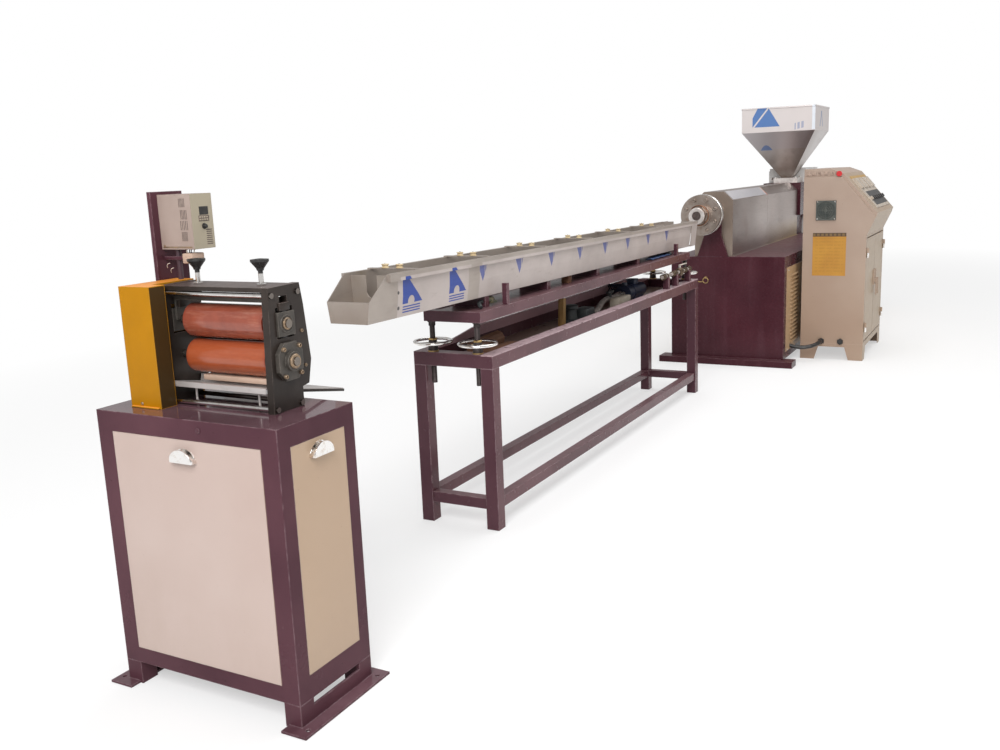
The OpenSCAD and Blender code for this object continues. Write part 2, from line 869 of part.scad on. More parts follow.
// Top frame of square tube, bored for the jack screws, with a drip pan in it
// and a splash plate along its far rail
module stand_top_frame() {
    color(purple)
    difference() {
        union() {
            difference() {
                block([stand_x0, -leg_y, stand_h - tube],
                    [stand_x1, leg_y, stand_h]);
                block([stand_x0 + tube, -leg_y + tube, 0],
                    [stand_x1 - tube, leg_y - tube, stand_h + eps]);
            }
            block([stand_x0 + tube / 2, -leg_y + tube / 2, stand_h - tube],
                [stand_x1 - tube / 2, leg_y - tube / 2,
                stand_h - tube + pan_t]);
            along_y(leg_y - tube - pan_t, leg_y - tube)
                polygon([[stand_x0 + tube, stand_h - tube],
                    [stand_x0 + tube, stand_h],
                    [stand_x0 + tube + splash_ramp, stand_h + splash_h],
                    [stand_x1 - tube - splash_ramp, stand_h + splash_h],
                    [stand_x1 - tube, stand_h],
                    [stand_x1 - tube, stand_h - tube]]);
        }
        for (x = [jack_x0, jack_x1], y = [-jack_y, jack_y])
            bar_z(stand_h - tube - eps, stand_h + eps, x, y,
                jack_r + jack_play);
    }
}
module stand_lower_frame() {
    y = leg_y - (tube - low_tube) / 2;
    color(purple) {
        for (s = [-1, 1])
            block([stand_x0 + tube, min(s * y, s * (y - low_tube)),
                low_h - low_tube],
                [stand_x1 - tube, max(s * y, s * (y - low_tube)), low_h]);
        for (x = [stand_x0 + (tube - low_tube) / 2,
            stand_x1 - tube + (tube - low_tube) / 2])
            block([x, -leg_y + tube, low_h - low_tube],
                [x + low_tube, leg_y - tube, low_h]);
    }
}
// Small circulating pump: motor, volute and foot
module water_pump() {
    x = stand_x1 - pump_in;
    z = stand_h - tube + pan_t;
    r = pump_r;
    color([0.16, 0.22, 0.4])
    union() {
        bar_x(x, x + r * 4.6, 0, z + r + 8, r);
        bar_x(x + r * 4.6, x + r * 5.4, 0, z + r + 8, r * 0.85);
        bar_x(x - r, x, 0, z + r + 8, r + 4);
        bar_z(z + r + 8, z + 2 * r + 24, x - r / 2, 0, 14);
        block([x + r * 0.8, 6 - r, z], [x + r * 4, r - 6, z + 30]);
    }
}

// Trough lift

function chair_x(i) = sub_x0 + 150 + i * (sub_x1 - sub_x0 - 300) / 4;
// Ring of channel with five cross members under a sheet deck
module sub_frame() {
    color(purple)
    union() {
        difference() {
            block([sub_x0, -sub_w / 2, sub_h - sub_t],
                [sub_x1, sub_w / 2, sub_h]);
            block([sub_x0 + sub_rail, -sub_w / 2 + sub_rail, 0],
                [sub_x1 - sub_rail, sub_w / 2 - sub_rail, sub_h + eps]);
        }
        for (i = [0:4])
            block([chair_x(i) - 15, -sub_w / 2 + sub_rail / 2,
                sub_h - sub_t], [chair_x(i) + 15, sub_w / 2 - sub_rail / 2,
                sub_h - deck_t]);
        block([sub_x0 + sub_rail / 2, -sub_w / 2 + sub_rail / 2,
            sub_h - 2 * deck_t], [sub_x1 - sub_rail / 2,
            sub_w / 2 - sub_rail / 2, sub_h - deck_t]);
    }
}
module jack_screws() {
    color(steel)
    for (x = [jack_x0, jack_x1], y = [-jack_y, jack_y])
        bar_z(sub_h - sub_t - jack_l, sub_h - sub_t, x, y, jack_r);
}
// Chairs under the trough and the stub posts beside it
module trough_supports() {
    color(purple)
    difference() {
        union() {
            for (i = [0:4])
                block([chair_x(i) - 15, -trough_foot / 2 + 4, sub_h - deck_t],
                    [chair_x(i) + 15, trough_foot / 2 - 4, trough_z]);
            for (x = [sub_x0 + stub_in, sub_x1 - stub_in - 20], s = [-1, 1])
                block([x, s * (sub_w / 2 - 10) - 10, sub_h],
                    [x + 20, s * (sub_w / 2 - 10) + 10, sub_h + stub_h
                    - (x - trough_x0) * tan(fall_a)]);
        }
        under_trough();
    }
}

// What stands under the trough ends on its sloping floor
module under_trough() {
    on_trough() block([trough_x0, -trough_foot / 2 + eps, trough_z],
        [trough_x1, trough_foot / 2 - eps, trough_z + trough_d]);
}

function wheel_hub() = jack_r + 8;
// Handwheel: bored hub, three spokes and a round ring
module handwheel(x, y) {
    z0 = stand_h + wheel_gap;
    z = stand_h + wheel_z;
    color(chrome)
    difference() {
        union() {
            bar_z(z0, z + 8, x, y, wheel_hub());
            translate([x, y, z]) rotate_extrude()
                translate([wheel_r, 0]) circle(r = wheel_bar);
            for (a = [30, 150, 270])
                translate([x, y, z]) rotate([0, 90, a])
                    cylinder(r = wheel_bar * 0.8, h = wheel_r);
        }
        bar_z(z0 - eps, z + 20, x, y, jack_r + jack_play);
    }
}
module handwheel_front_near() { handwheel(jack_x0, -jack_y); }
module handwheel_front_far() { handwheel(jack_x0, jack_y); }
module handwheel_rear_near() { handwheel(jack_x1, -jack_y); }
module handwheel_rear_far() { handwheel(jack_x1, jack_y); }

// Trough

// Everything on the trough falls with it towards the die end
module on_trough() {
    translate([trough_x0, 0, trough_z]) rotate([0, fall_a, 0])
        translate([-trough_x0, 0, -trough_z]) children();
}
trough_top = trough_z + trough_d;
// Half of the outer width at a height over the trough floor
function wall_at(h) = h < wall_bend
    ? trough_foot / 2 + (trough_w / 2 - 4 - trough_foot / 2) * h / wall_bend
    : trough_w / 2 - 4 + 4 * (h - wall_bend) / (trough_d - wall_bend);
module trough_section(inset, up) {
    w = [for (h = [0, wall_bend, trough_d]) wall_at(h) - inset];
    z0 = trough_z + inset;
    zb = trough_z + wall_bend;
    z1 = trough_top + up;
    polygon(concat([[-w[0], z0], [w[0], z0], [w[1], zb], [w[2], trough_top]],
        up > 0 ? [[w[2], z1], [-w[2], z1]] : [],
        [[-w[2], trough_top], [-w[1], zb]]));
}
module trough_profile(inset, up) {
    x0 = trough_x0 + inset;
    x1 = trough_x1 - inset;
    z0 = trough_z + inset;
    lip = trough_z + lip_h;
    polygon([[x0, z0], [x0, lip + up], [x0 + mouth_l, trough_top + up],
        [x1, trough_top + up], [x1, z0]]);
}
// Folded sheet channel with a slanted mouth, a rim and a slot to the die
module trough() {
    w = trough_w / 2;
    color(steel)
    on_trough()
    difference() {
        union() {
            intersection() {
                along_y(-w, w) trough_profile(0, 0);
                along_x(trough_x0, trough_x1) trough_section(0, 0);
            }
            for (s = [-1, 1])
                block([trough_x0 + mouth_l, s * (w + rim_w / 2 - 1)
                    - rim_w / 2 - 1, trough_top - rim_h],
                    [trough_x1, s * (w + rim_w / 2 - 1) + rim_w / 2 + 1,
                    trough_top]);
        }
        intersection() {
            along_y(-w, w) trough_profile(trough_t, 40);
            along_x(trough_x0, trough_x1) trough_section(trough_t, 40);
        }
        block([trough_x1 - 2 * trough_t, -22, trough_top - 60],
            [trough_x1 + eps, 22, trough_top + eps]);
    }
}
// Weir plates with a U slot for the profile
module weir(x) {
    difference() {
        intersection() {
            block([x, -trough_w, trough_z], [x + 3, trough_w, trough_top - 8]);
            along_x(x, x + 3) trough_section(trough_t, 0);
        }
        block([x - eps, -20, trough_z + 84], [x + 3 + eps, 20, trough_top]);
        bar_x(x - eps, x + 3 + eps, 0, trough_z + 84, 20);
    }
}
module trough_baffles() {
    color(steel)
    on_trough() {
        weir(trough_x0 + weir_in);
        weir(trough_x1 - weir_in);
    }
}
function guide_at(i) = trough_x0 + guide_x + i * guide_pitch;
// Cross bars on the rim of the trough
module guide_bars() {
    color(steel)
    on_trough()
    for (i = [0:guide_n - 1])
        block([guide_at(i) - 10, -trough_w / 2 - rim_w, trough_top],
            [guide_at(i) + 10, trough_w / 2 + rim_w, trough_top + 4]);
}
// Two nylon rollers on every cross bar
module guide_rollers() {
    color(cream)
    on_trough()
    for (i = [0:guide_n - 1], s = [-1, 1])
        bar_z(trough_top + 4, trough_top + 28, guide_at(i), s * 28,
            guide_d / 2);
}
// Drain cocks under the trough floor
module drain_cocks() {
    color([0.7, 0.58, 0.3])
    for (x = [trough_x0 + cock_in, trough_x1 - cock_out])
        difference() {
            union() {
                bar_z(sub_h + 2, trough_z, x, -45, 9);
                bar_y(-70, -36, x, sub_h + 12, 7);
                block([x - 20, -76, sub_h + 8], [x + 20, -70, sub_h + 16]);
            }
            under_trough();
        }
}

// Haul-off

module haul_cabinet() {
    p = panel_t;
    color(purple)
    difference() {
        block([haul_x0, haul_y0, haul_leg], [haul_x1, haul_y1, haul_h]);
        for (x = [haul_x0 - eps, haul_x1 - p])
            block([x, haul_y0 + haul_edge, haul_leg + 44],
                [x + p + eps, haul_y1 - haul_edge, haul_h - haul_edge]);
        for (y = [haul_y0 - eps, haul_y1 - p])
            block([haul_x0 + haul_edge - 10, y, haul_leg + 62],
                [haul_x1 - haul_edge + 10, y + p + eps, haul_h - haul_edge]);
    }
}
module haul_panels() {
    p = panel_t;
    color(cream) {
        for (x = [haul_x0 - 1, haul_x1 - p])
            block([x, haul_y0 + haul_edge, haul_leg + 44],
                [x + p + 1, haul_y1 - haul_edge, haul_h - haul_edge]);
        for (y = [haul_y0 - 1, haul_y1 - p])
            block([haul_x0 + haul_edge - 10, y, haul_leg + 62],
                [haul_x1 - haul_edge + 10, y + p + 1, haul_h - haul_edge]);
    }
}
// Half-round shell pull, open below, on a panel whose face looks to -X
module cup_pull() {
    r = pull_r;
    difference() {
        intersection() {
            sphere(r = r);
            block([-17, -r, -2], [0, r, r]);
            bar_x(-20, 0, 0, -8, r);
        }
        intersection() {
            sphere(r = r - 2.5);
            block([-14.5, -r, -10], [-2, r, r - 3]);
        }
    }
}
module cup_pulls() {
    z = haul_h - pull_drop;
    ym = (haul_y0 + haul_y1) / 2;
    xm = (haul_x0 + haul_x1) / 2;
    color(chrome) {
        translate([haul_x0 - 1, ym, z]) cup_pull();
        translate([haul_x1 + 1, ym, z]) rotate(180) cup_pull();
        translate([xm, haul_y0 - 1, z + 12]) rotate(90) cup_pull();
        translate([xm, haul_y1 + 1, z + 12]) rotate(-90) cup_pull();
    }
}
// Angle foot under each side with two leg posts and two anchor holes
module haul_foot() {
    fx = (haul_x0 + haul_x1) / 2 - foot_l / 2;
    difference() {
        union() {
            block([fx, haul_y0 - 36, 0], [fx + foot_l, haul_y0 - 36 + foot_w,
                foot_t]);
            block([haul_x0, haul_y0, 0], [haul_x1, haul_y0 + foot_t, 44]);
            for (x = [haul_x0, haul_x1 - 50])
                block([x, haul_y0, 0], [x + 50, haul_y0 + 50, haul_leg]);
        }
        for (x = [fx + 30, fx + foot_l - 30])
            bar_z(-eps, foot_t + eps, x, haul_y0 - 18, anchor_d / 2);
    }
}
module haul_feet() {
    color(purple) {
        haul_foot();
        translate([0, haul_y0 + haul_y1, 0]) mirror([0, 1, 0]) haul_foot();
    }
}

// Roller head

// Outline of a side plate in X and Z
module plate_outline() {
    translate([head_x0, haul_h])
        polygon([[-11, 0], [0, head_h], [head_d, head_h + 2],
            [head_d + 9, head_h - 50], [head_d + 24, roller_z - 10],
            [head_d + 10, 52], [head_d - 15, 48], [head_d - 15, 0]]);
}
win_z0 = up_z - slide_h / 2 - 5.5;
win_z1 = up_z + slide_h / 2 + roller_lift + 5.5;
module side_plate(y0, hole) {
    difference() {
        along_y(y0, y0 + plate_t) plate_outline();
        block([nip_x - slide_w / 2 - slide_gap, y0 - eps, win_z0],
            [nip_x + slide_w / 2 + slide_gap, y0 + plate_t + eps, win_z1]);
        block([nip_x - 14, y0 - eps, win_z1 + 6],
            [nip_x + 14, y0 + plate_t + eps, top_z - 12]);
        bar_y(y0 - eps, y0 + plate_t + eps, nip_x, low_z, hole);
    }
}
module head_side_plates() {
    color(black) {
        side_plate(head_y0, shaft_r + 6);
        side_plate(head_y1 - plate_t, shaft_r + shaft_play);
    }
}
module head_top_plate() {
    color(black)
    difference() {
        block([head_x0 + 1, head_y0 + plate_t, top_z],
            [head_x1 - 1, head_y1 - plate_t, top_z + top_t]);
        for (y = [knob_y0, knob_y1])
            bar_z(top_z - eps, top_z + top_t + eps, nip_x, y,
                screw_r + shaft_play);
    }
}
knob_y0 = head_y0 + knob_near;
knob_y1 = head_y1 - knob_far;

ties = [[head_x0 + 8, top_z - 7.5], [head_x0 + head_d - 12, top_z - 7.5],
    [head_x0, haul_h + 9.5], [head_x0 + head_d - 25, haul_h + 9.5]];
module tie_bars() {
    color(chrome)
    for (t = ties)
        union() {
            bar_y(head_y0 + plate_t, head_y1 - plate_t, t[0], t[1], 6);
            bar_y(head_y0 - 5, head_y0, t[0], t[1], 7);
        }
}
// Flanged bearing of the lower roller on the near plate
module lower_bearings() {
    color([0.25, 0.23, 0.22])
    difference() {
        union() {
            along_y(head_y0 - 12, head_y0)
                polygon([for (p = [[-43, -22], [-22, -46], [22, -46],
                    [43, -22], [43, 22], [22, 46], [-22, 46], [-43, 22]])
                    [nip_x + p[0], low_z + p[1]]]);
            bar_y(head_y0 - 22, head_y0 - 12, nip_x, low_z, 24);
        }
        bar_y(head_y0 - 23, head_y0 + eps, nip_x, low_z, shaft_r + shaft_play);
    }
}
// Sloping tray under the rollers with a front lip, a ledge and two studs
module guide_tray() {
    x0 = head_x0 - 7;
    w = head_w - 2 * plate_t - 8;
    color(steel)
    translate([x0, head_y0 + plate_t + 4, haul_h + tray_h])
        union() {
            rotate([0, tray_a, 0]) {
                translate([0, 0, -3]) cube([tray_l, w, 3]);
                translate([tray_l * 0.33, 0, -1]) cube([16, w, 19]);
            }
            translate([-2, 0, -14]) cube([3, w, 14]);
            for (y = [42, w - 62])
                translate([20, y, -tray_h]) cylinder(r = 3, h = tray_h - 6);
        }
}
module gear_guard() {
    color([0.85, 0.58, 0.05])
    union() {
        block([guard_x0, guard_y0, haul_h],
            [head_x0 - 13, guard_y1, haul_h + guard_h]);
        block([guard_x0, head_y1 + 4, haul_h],
            [guard_x0 + guard_l, guard_y1, haul_h + guard_h]);
    }
}
module control_post() {
    color(purple)
    block([post_x0, post_y0, haul_h],
        [post_x0 + post_w, post_y0 + post_t, haul_h + post_h]);
}
module speed_inverter() {
    x = post_x0 + 22;
    z = haul_h + post_h - 8 - inv_h;
    color(beige)
    union() {
        block([x, post_y0 - inv_d, z], [x + inv_w, post_y0, z + inv_h]);
        bar_z(haul_h + guard_h, z, x + 14, guard_y1 - 40, 7);
    }
}

module roller_form(z, y0, y1) {
    union() {
        bar_y(head_y0 + plate_t + roller_gap, head_y1 - plate_t - roller_far,
            nip_x, z, roller_d / 2);
        bar_y(y0, y1, nip_x, z, shaft_r);
    }
}
module lower_roller() {
    color([0.75, 0.3, 0.17])
    roller_form(low_z, head_y0 - 30, head_y1 - 2);
}
module upper_roller() {
    color([0.75, 0.3, 0.17])
    roller_form(up_z, head_y0 - 14, head_y1 - 2);
}
// Two sliding bearing blocks joined by the yoke that the screws press on
module roller_carriage() {
    b0 = head_y0 + plate_t + 2;
    b1 = head_y1 - plate_t - 2;
    color([0.25, 0.23, 0.22])
    difference() {
        union() {
            for (y = [[head_y0 - 6, b0], [b1, head_y1 - 2]])
                block([nip_x - slide_w / 2, y[0], up_z - slide_h / 2],
                    [nip_x + slide_w / 2, y[1], up_z + slide_h / 2]);
            for (y = [[head_y0 + plate_t + 0.5, b0 + 4],
                [b1 - 4, head_y1 - plate_t - 0.5]])
                block([nip_x - 20, y[0], up_z], [nip_x + 20, y[1], yoke_z]);
            block([nip_x - 20, head_y0 + plate_t + 0.5, yoke_z],
                [nip_x + 20, head_y1 - plate_t - 0.5, yoke_z + yoke_t]);
        }
        bar_y(head_y0 - 50, head_y1 + 50, nip_x, up_z, shaft_r + shaft_play);
    }
}
// Chrome pressure screw with a flared knob
module pressure_knob(y) {
    z0 = yoke_z + yoke_t + 0.3;
    z1 = top_z + top_t + 38;
    color(black)
    union() {
        bar_z(z0, z1, nip_x, y, screw_r);
        translate([nip_x, y, z1]) rotate_extrude()
            polygon([[0, -2], [screw_r + 2, -2], [screw_r + 4, 4],
                [knob_r, 20], [knob_r, 25], [0, 25]]);
    }
}
module pressure_knob_near() { pressure_knob(knob_y0); }
module pressure_knob_far() { pressure_knob(knob_y1); }

base_skids();
extruder_base();
base_panels();
barrel_support();
barrel();
die_head();
barrel_covers();
feed_housing();
gearbox();
hopper();
hopper_gate();
control_cabinet();
cabinet_skirt();
door_hinges();
cabinet_door_near();
cabinet_door_far();
console_panel();
fan_grille();
cable_glands();
cabinet_hose();
stand_top_frame();
stand_legs();
stand_lower_frame();
water_pump();
sub_frame();
jack_screws();
trough_supports();
trough();
trough_baffles();
guide_bars();
guide_rollers();
drain_cocks();
handwheel_front_near();
handwheel_front_far();
handwheel_rear_near();
handwheel_rear_far();
haul_cabinet();
haul_panels();
cup_pulls();
haul_feet();
head_side_plates();
head_top_plate();
tie_bars();
lower_bearings();
guide_tray();
gear_guard();
control_post();
speed_inverter();
lower_roller();
roller_carriage();
upper_roller();
pressure_knob_near();
pressure_knob_far();
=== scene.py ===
import bpy
import math
from mathutils import Matrix, Vector


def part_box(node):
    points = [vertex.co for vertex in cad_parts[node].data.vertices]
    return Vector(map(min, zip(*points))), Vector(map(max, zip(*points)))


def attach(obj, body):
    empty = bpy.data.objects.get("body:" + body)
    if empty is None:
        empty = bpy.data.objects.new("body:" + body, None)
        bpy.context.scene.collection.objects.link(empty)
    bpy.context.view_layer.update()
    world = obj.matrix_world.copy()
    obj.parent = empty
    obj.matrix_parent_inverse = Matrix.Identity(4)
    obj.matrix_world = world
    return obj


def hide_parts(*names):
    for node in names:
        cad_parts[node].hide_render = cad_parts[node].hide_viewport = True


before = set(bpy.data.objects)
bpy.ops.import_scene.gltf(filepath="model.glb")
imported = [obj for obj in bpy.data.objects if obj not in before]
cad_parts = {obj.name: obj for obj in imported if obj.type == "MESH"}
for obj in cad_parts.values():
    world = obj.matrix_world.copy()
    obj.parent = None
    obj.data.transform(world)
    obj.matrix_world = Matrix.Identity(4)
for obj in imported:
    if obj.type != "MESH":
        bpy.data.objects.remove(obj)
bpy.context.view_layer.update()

# ---------------------------------------------------------------------------
# The room: a white studio floor, a white surround that polished metal sees
# too, and three large soft lamps. The camera stands low at the haul-off end
# of the line, where the picture was taken.
turn, tilt, lean = (math.radians(angle) for angle in (28.729, -11.692, -2.274))
viewpoint = (-7.7216, -1.8245, 1.2911)
focal_pixels, picture_pixels, film_width = 975.92, 1000, 36
ahead = Vector((math.cos(turn) * math.cos(tilt), math.sin(turn) * math.cos(tilt), math.sin(tilt)))
side = Vector((math.sin(turn), -math.cos(turn), 0))
over = side.cross(ahead)
across = math.cos(lean) * side + math.sin(lean) * over
upward = math.cos(lean) * over - math.sin(lean) * side
camera = bpy.data.objects.new("line_camera", bpy.data.cameras.new("line_camera"))
camera.data.sensor_width = film_width
camera.data.lens = focal_pixels * film_width / picture_pixels
camera.matrix_world = Matrix.Translation(viewpoint) @ Matrix((across, upward, -ahead)).transposed().to_4x4()
bpy.context.scene.collection.objects.link(camera)
bpy.context.scene.camera = camera
bpy.context.scene.view_settings.view_transform = "Standard"


class Wire:
    """A node socket that Python's own operators work on."""

    def __init__(self, finish, out):
        self.finish, self.out = finish, out

    def _math(self, kind, *values):
        return self.finish.add("ShaderNodeMath", {"operation": kind}, enumerate(values))

    def __add__(self, other):
        return self._math("ADD", self, other)

    def __sub__(self, other):
        return self._math("SUBTRACT", self, other)

    def __rsub__(self, other):
        return self._math("SUBTRACT", other, self)

    def __mul__(self, other):
        return self._math("MULTIPLY", self, other)

    def __truediv__(self, other):
        return self._math("DIVIDE", self, other)

    def __pow__(self, other):
        return self._math("POWER", self, other)

    def __mod__(self, other):
        return self._math("FLOORED_MODULO", self, other)

    def __gt__(self, other):
        return self._math("GREATER_THAN", self, other)

    def __lt__(self, other):
        return self._math("LESS_THAN", self, other)

    def __abs__(self):
        return self._math("ABSOLUTE", self)

    __radd__ = __add__
    __rmul__ = __mul__

    def wave(self):
        """A sine, for a thread."""
        return self._math("SINE", self)

    def fade(self, low, high):
        """0 below low, 1 above high and an even slope between them."""
        return self.finish.add("ShaderNodeMapRange", {"clamp": True},
            {0: self, 1: low, 2: high, 3: 0.0, 4: 1.0})

    def within(self, low, high):
        """1 between low and high, 0 outside."""
        return (self > low) * (self < high)


class Finish:
    """One finish: a material whose nodes are made by the calls below."""

    def __init__(self, name, colour=(0.5, 0.5, 0.5), roughness=0.5, **fixed):
        self.material = bpy.data.materials.new(name)
        self.material.use_nodes = True
        self.tree = self.material.node_tree
        self.shader = self.tree.nodes["Principled BSDF"]
        self.set(Base_Color=colour, Roughness=roughness, **fixed)

    def add(self, kind, settings=(), values=(), out=0):
        node = self.tree.nodes.new(kind)
        for key, value in dict(settings).items():
            setattr(node, key, value)
        self.fill(node, values)
        return Wire(self, node.outputs[out])

    def fill(self, node, values):
        for key, value in dict(values).items():
            socket = node.inputs[key]
            if isinstance(value, Wire):
                self.tree.links.new(value.out, socket)
            elif socket.type == "RGBA":
                socket.default_value = (*value[:3], 1)
            else:
                socket.default_value = value

    def set(self, **values):
        self.fill(self.shader, {key.replace("_", " "): value for key, value in values.items()})
        return self

    def spot(self, stretch=(1, 1, 1), turned=(0, 0, 0)):
        """Object coordinates, stretched or turned for a grained finish."""
        place = self.add("ShaderNodeTexCoord", out="Object")
        return self.add("ShaderNodeMapping", {}, {"Vector": place, "Scale": stretch, "Rotation": turned})

    def cloud(self, scale, detail=3.0, rough=0.5, stretch=(1, 1, 1), turned=(0, 0, 0), bend=0.0):
        """Soft irregular patches, scale of them in a metre."""
        return self.add("ShaderNodeTexNoise", {"noise_dimensions": "3D"},
            {"Vector": self.spot(stretch, turned), "Scale": scale, "Detail": detail, "Roughness": rough,
            "Distortion": bend})

    def axis(self, index):
        """X, Y or Z of the point, in metres."""
        return self.add("ShaderNodeSeparateXYZ", {}, {0: self.add("ShaderNodeTexCoord", out="Object")},
            out=index)

    def facing(self, index):
        """How far the surface looks along X, Y or Z, from -1 to 1."""
        return self.add("ShaderNodeSeparateXYZ", {}, {0: self.add("ShaderNodeNewGeometry", out="Normal")},
            out=index)

    def mix(self, factor, first, second, kind="MIX"):
        return self.add("ShaderNodeMix", {"data_type": "RGBA", "blend_type": kind},
            {0: factor, 6: first, 7: second}, out=2)

    def edge(self, radius):
        """1 along outer and inner edges, 0 on the flats."""
        soft = self.add("ShaderNodeBevel", {"samples": 4}, {"Radius": radius})
        flat = self.add("ShaderNodeNewGeometry", out="Normal")
        alike = self.add("ShaderNodeVectorMath", {"operation": "DOT_PRODUCT"}, {0: soft, 1: flat},
            out="Value")
        return (1.0 - alike).fade(0.02, 0.22)

    def relief(self, height, depth, distance=0.001, rounded=0.0):
        """Bump from a height, over edges rounded by a small radius."""
        values = {"Height": height, "Strength": depth, "Distance": distance}
        if rounded:
            values["Normal"] = self.add("ShaderNodeBevel", {"samples": 4}, {"Radius": rounded})
        return self.set(Normal=self.add("ShaderNodeBump", {}, values))


white = Finish("studio_white", (0.93, 0.93, 0.93), 0.9, Specular_IOR_Level=0.0)
looks = white.add("ShaderNodeLightPath", out="Is Camera Ray")
for ray in ("Is Glossy Ray", "Is Transmission Ray"):
    looks = looks + white.add("ShaderNodeLightPath", out=ray)
line_middle = -2.3
along = (white.axis(0) - line_middle) * 0.5
away = (along * along + white.axis(1) * white.axis(1)) ** 0.5
white.set(Emission_Color=(1, 1, 1))
paper = white.add("ShaderNodeEmission", {}, {"Color": (1, 1, 1), "Strength": 1.0})
cover = white.add("ShaderNodeMixShader", {}, {0: looks.fade(0, 1) * (away.fade(2.0, 5.0) * 0.5 + 0.5),
    1: Wire(white, white.shader.outputs[0]), 2: paper})
white.tree.links.new(cover.out, white.tree.nodes["Material Output"].inputs[0])
bpy.ops.object.select_all(action="DESELECT")
bpy.ops.mesh.primitive_plane_add(size=60, location=(0, 0, -0.001))
floor = bpy.context.object
floor.name = "studio_floor"
floor.data.materials.append(white.material)
bpy.context.scene.world = bpy.data.worlds.new("studio")
sky = bpy.context.scene.world
sky.use_nodes = True
rays = sky.node_tree.nodes.new("ShaderNodeLightPath")
glow = sky.node_tree.nodes["Background"]
glow.inputs[0].default_value = (1, 1, 1, 1)
glow.inputs[1].default_value = 0.48
backdrop = sky.node_tree.nodes.new("ShaderNodeBackground")
backdrop.inputs[0].default_value = (1, 1, 1, 1)
backdrop.inputs[1].default_value = 1.0
seen = sky.node_tree.nodes.new("ShaderNodeMixShader")
sky.node_tree.links.new(rays.outputs["Is Camera Ray"], seen.inputs[0])
sky.node_tree.links.new(glow.outputs[0], seen.inputs[1])
sky.node_tree.links.new(backdrop.outputs[0], seen.inputs[2])
sky.node_tree.links.new(seen.outputs[0], sky.node_tree.nodes["World Output"].inputs[0])
for name, spot, aim, power, size in (
        ("window_lamp", (-10.0, -2.2, 4.6), (-3.5, 0, 0.6), 390, 3.5),
        ("ceiling_lamp", (-2.0, -1.0, 6.0), (-2.0, 0, 0.8), 190, 5.0),
        ("far_lamp", (3.5, -6.5, 4.5), (0.0, 0, 0.9), 35, 3.5)):
    lamp = bpy.data.objects.new(name, bpy.data.lights.new(name, "AREA"))
    lamp.data.energy, lamp.data.size = power, size
    lamp.location = spot
    lamp.rotation_euler = (Vector(aim) - Vector(spot)).to_track_quat("-Z", "Y").to_euler()
    bpy.context.scene.collection.objects.link(lamp)

# ---------------------------------------------------------------------------
# Extruder base: a welded box on three cross bars, in dark plum enamel that is
# brushed on over filler, dusty on top and rubbed pale along the edges. A
# small latch with a ring hangs on its front.


def dress(finish, *nodes):
    """Give CAD nodes a finish."""
    for node in nodes:
        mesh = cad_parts[node].data
        mesh.materials.clear()
        mesh.materials.append(finish.material)


def clear():
    """Nothing selected, so that an operator acts on the new piece alone."""
    bpy.ops.object.select_all(action="DESELECT")


def fit(piece, name, finish, body="line_frame", crease=35):
    """Settle a finished piece: its name, place, finish and what carries it."""
    piece.name = piece.data.name = name
    piece.data.materials.clear()
    piece.data.materials.append(finish.material)
    clear()
    piece.select_set(True)
    bpy.context.view_layer.objects.active = piece
    bpy.ops.object.transform_apply(location=True, rotation=True, scale=True)
    bpy.ops.object.shade_smooth_by_angle(angle=math.radians(crease))
    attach(piece, body)
    return piece


def another(piece, name, move, finish, body="line_frame"):
    """A copy of a piece with its own mesh, moved."""
    twin = bpy.data.objects.new(name, piece.data.copy())
    bpy.context.scene.collection.objects.link(twin)
    twin.data.transform((move if isinstance(move, Matrix) else Matrix.Translation(move))
        @ piece.matrix_world)
    return fit(twin, name, finish, body)


def repeat(piece, name, moves, finish, body="line_frame"):
    """One modelled piece made into a set of copies."""
    for number, move in enumerate(moves):
        another(piece, "%s_%d" % (name, number), move, finish, body)
    bpy.data.objects.remove(piece)


half_turn = Matrix.Rotation(math.pi, 4, "Z")


def both_sides(near, far, spots):
    """Moves that set a piece on the near side, and turned about on the far side."""
    return [Matrix.Translation((x, y, z)) @ turn_it for x, z in spots
        for y, turn_it in ((near, Matrix.Identity(4)), (far, half_turn))]


def edit(action="SELECT"):
    """Open the new piece in edit mode with all or nothing selected."""
    bpy.ops.object.mode_set(mode="EDIT")
    bpy.ops.mesh.select_all(action=action)


def close():
    """Faces outwards, and back to object mode."""
    bpy.ops.mesh.select_all(action="SELECT")
    bpy.ops.mesh.normals_make_consistent(inside=False)
    bpy.ops.object.mode_set(mode="OBJECT")
    return bpy.context.object


def block(low, high, soft=0.001, steps=2):
    """A box between two corners with its edges rounded."""
    clear()
    bpy.ops.mesh.primitive_cube_add(size=1, location=[(a + b) / 2 for a, b in zip(low, high)],
        scale=[b - a for a, b in zip(low, high)])
    bpy.ops.object.transform_apply(location=True, rotation=False, scale=True)
    edit()
    bpy.ops.mesh.bevel(offset=soft, segments=steps, affect="EDGES")
    return close()


def turned(start, way, radius, steps, sides=28, roll=0.0):
    """A turned form: a disc drawn out along its axis, one step at a time.
    Each step gives the height over the start and the radius there."""
    clear()
    bpy.ops.mesh.primitive_circle_add(vertices=sides, radius=radius, fill_type="NGON")
    edit()
    height, wide = 0.0, radius
    for high, next_wide in steps:
        bpy.ops.mesh.extrude_region_move(TRANSFORM_OT_translate={"value": (0, 0, high - height)})
        bpy.ops.transform.resize(value=(next_wide / wide, next_wide / wide, 1),
            center_override=(0, 0, high))
        height, wide = high, next_wide
    piece = close()
    piece.matrix_world = (Matrix.Translation(start)
        @ Vector(way).to_track_quat("Z", "Y").to_matrix().to_4x4() @ Matrix.Rotation(roll, 4, "Z"))
    return piece


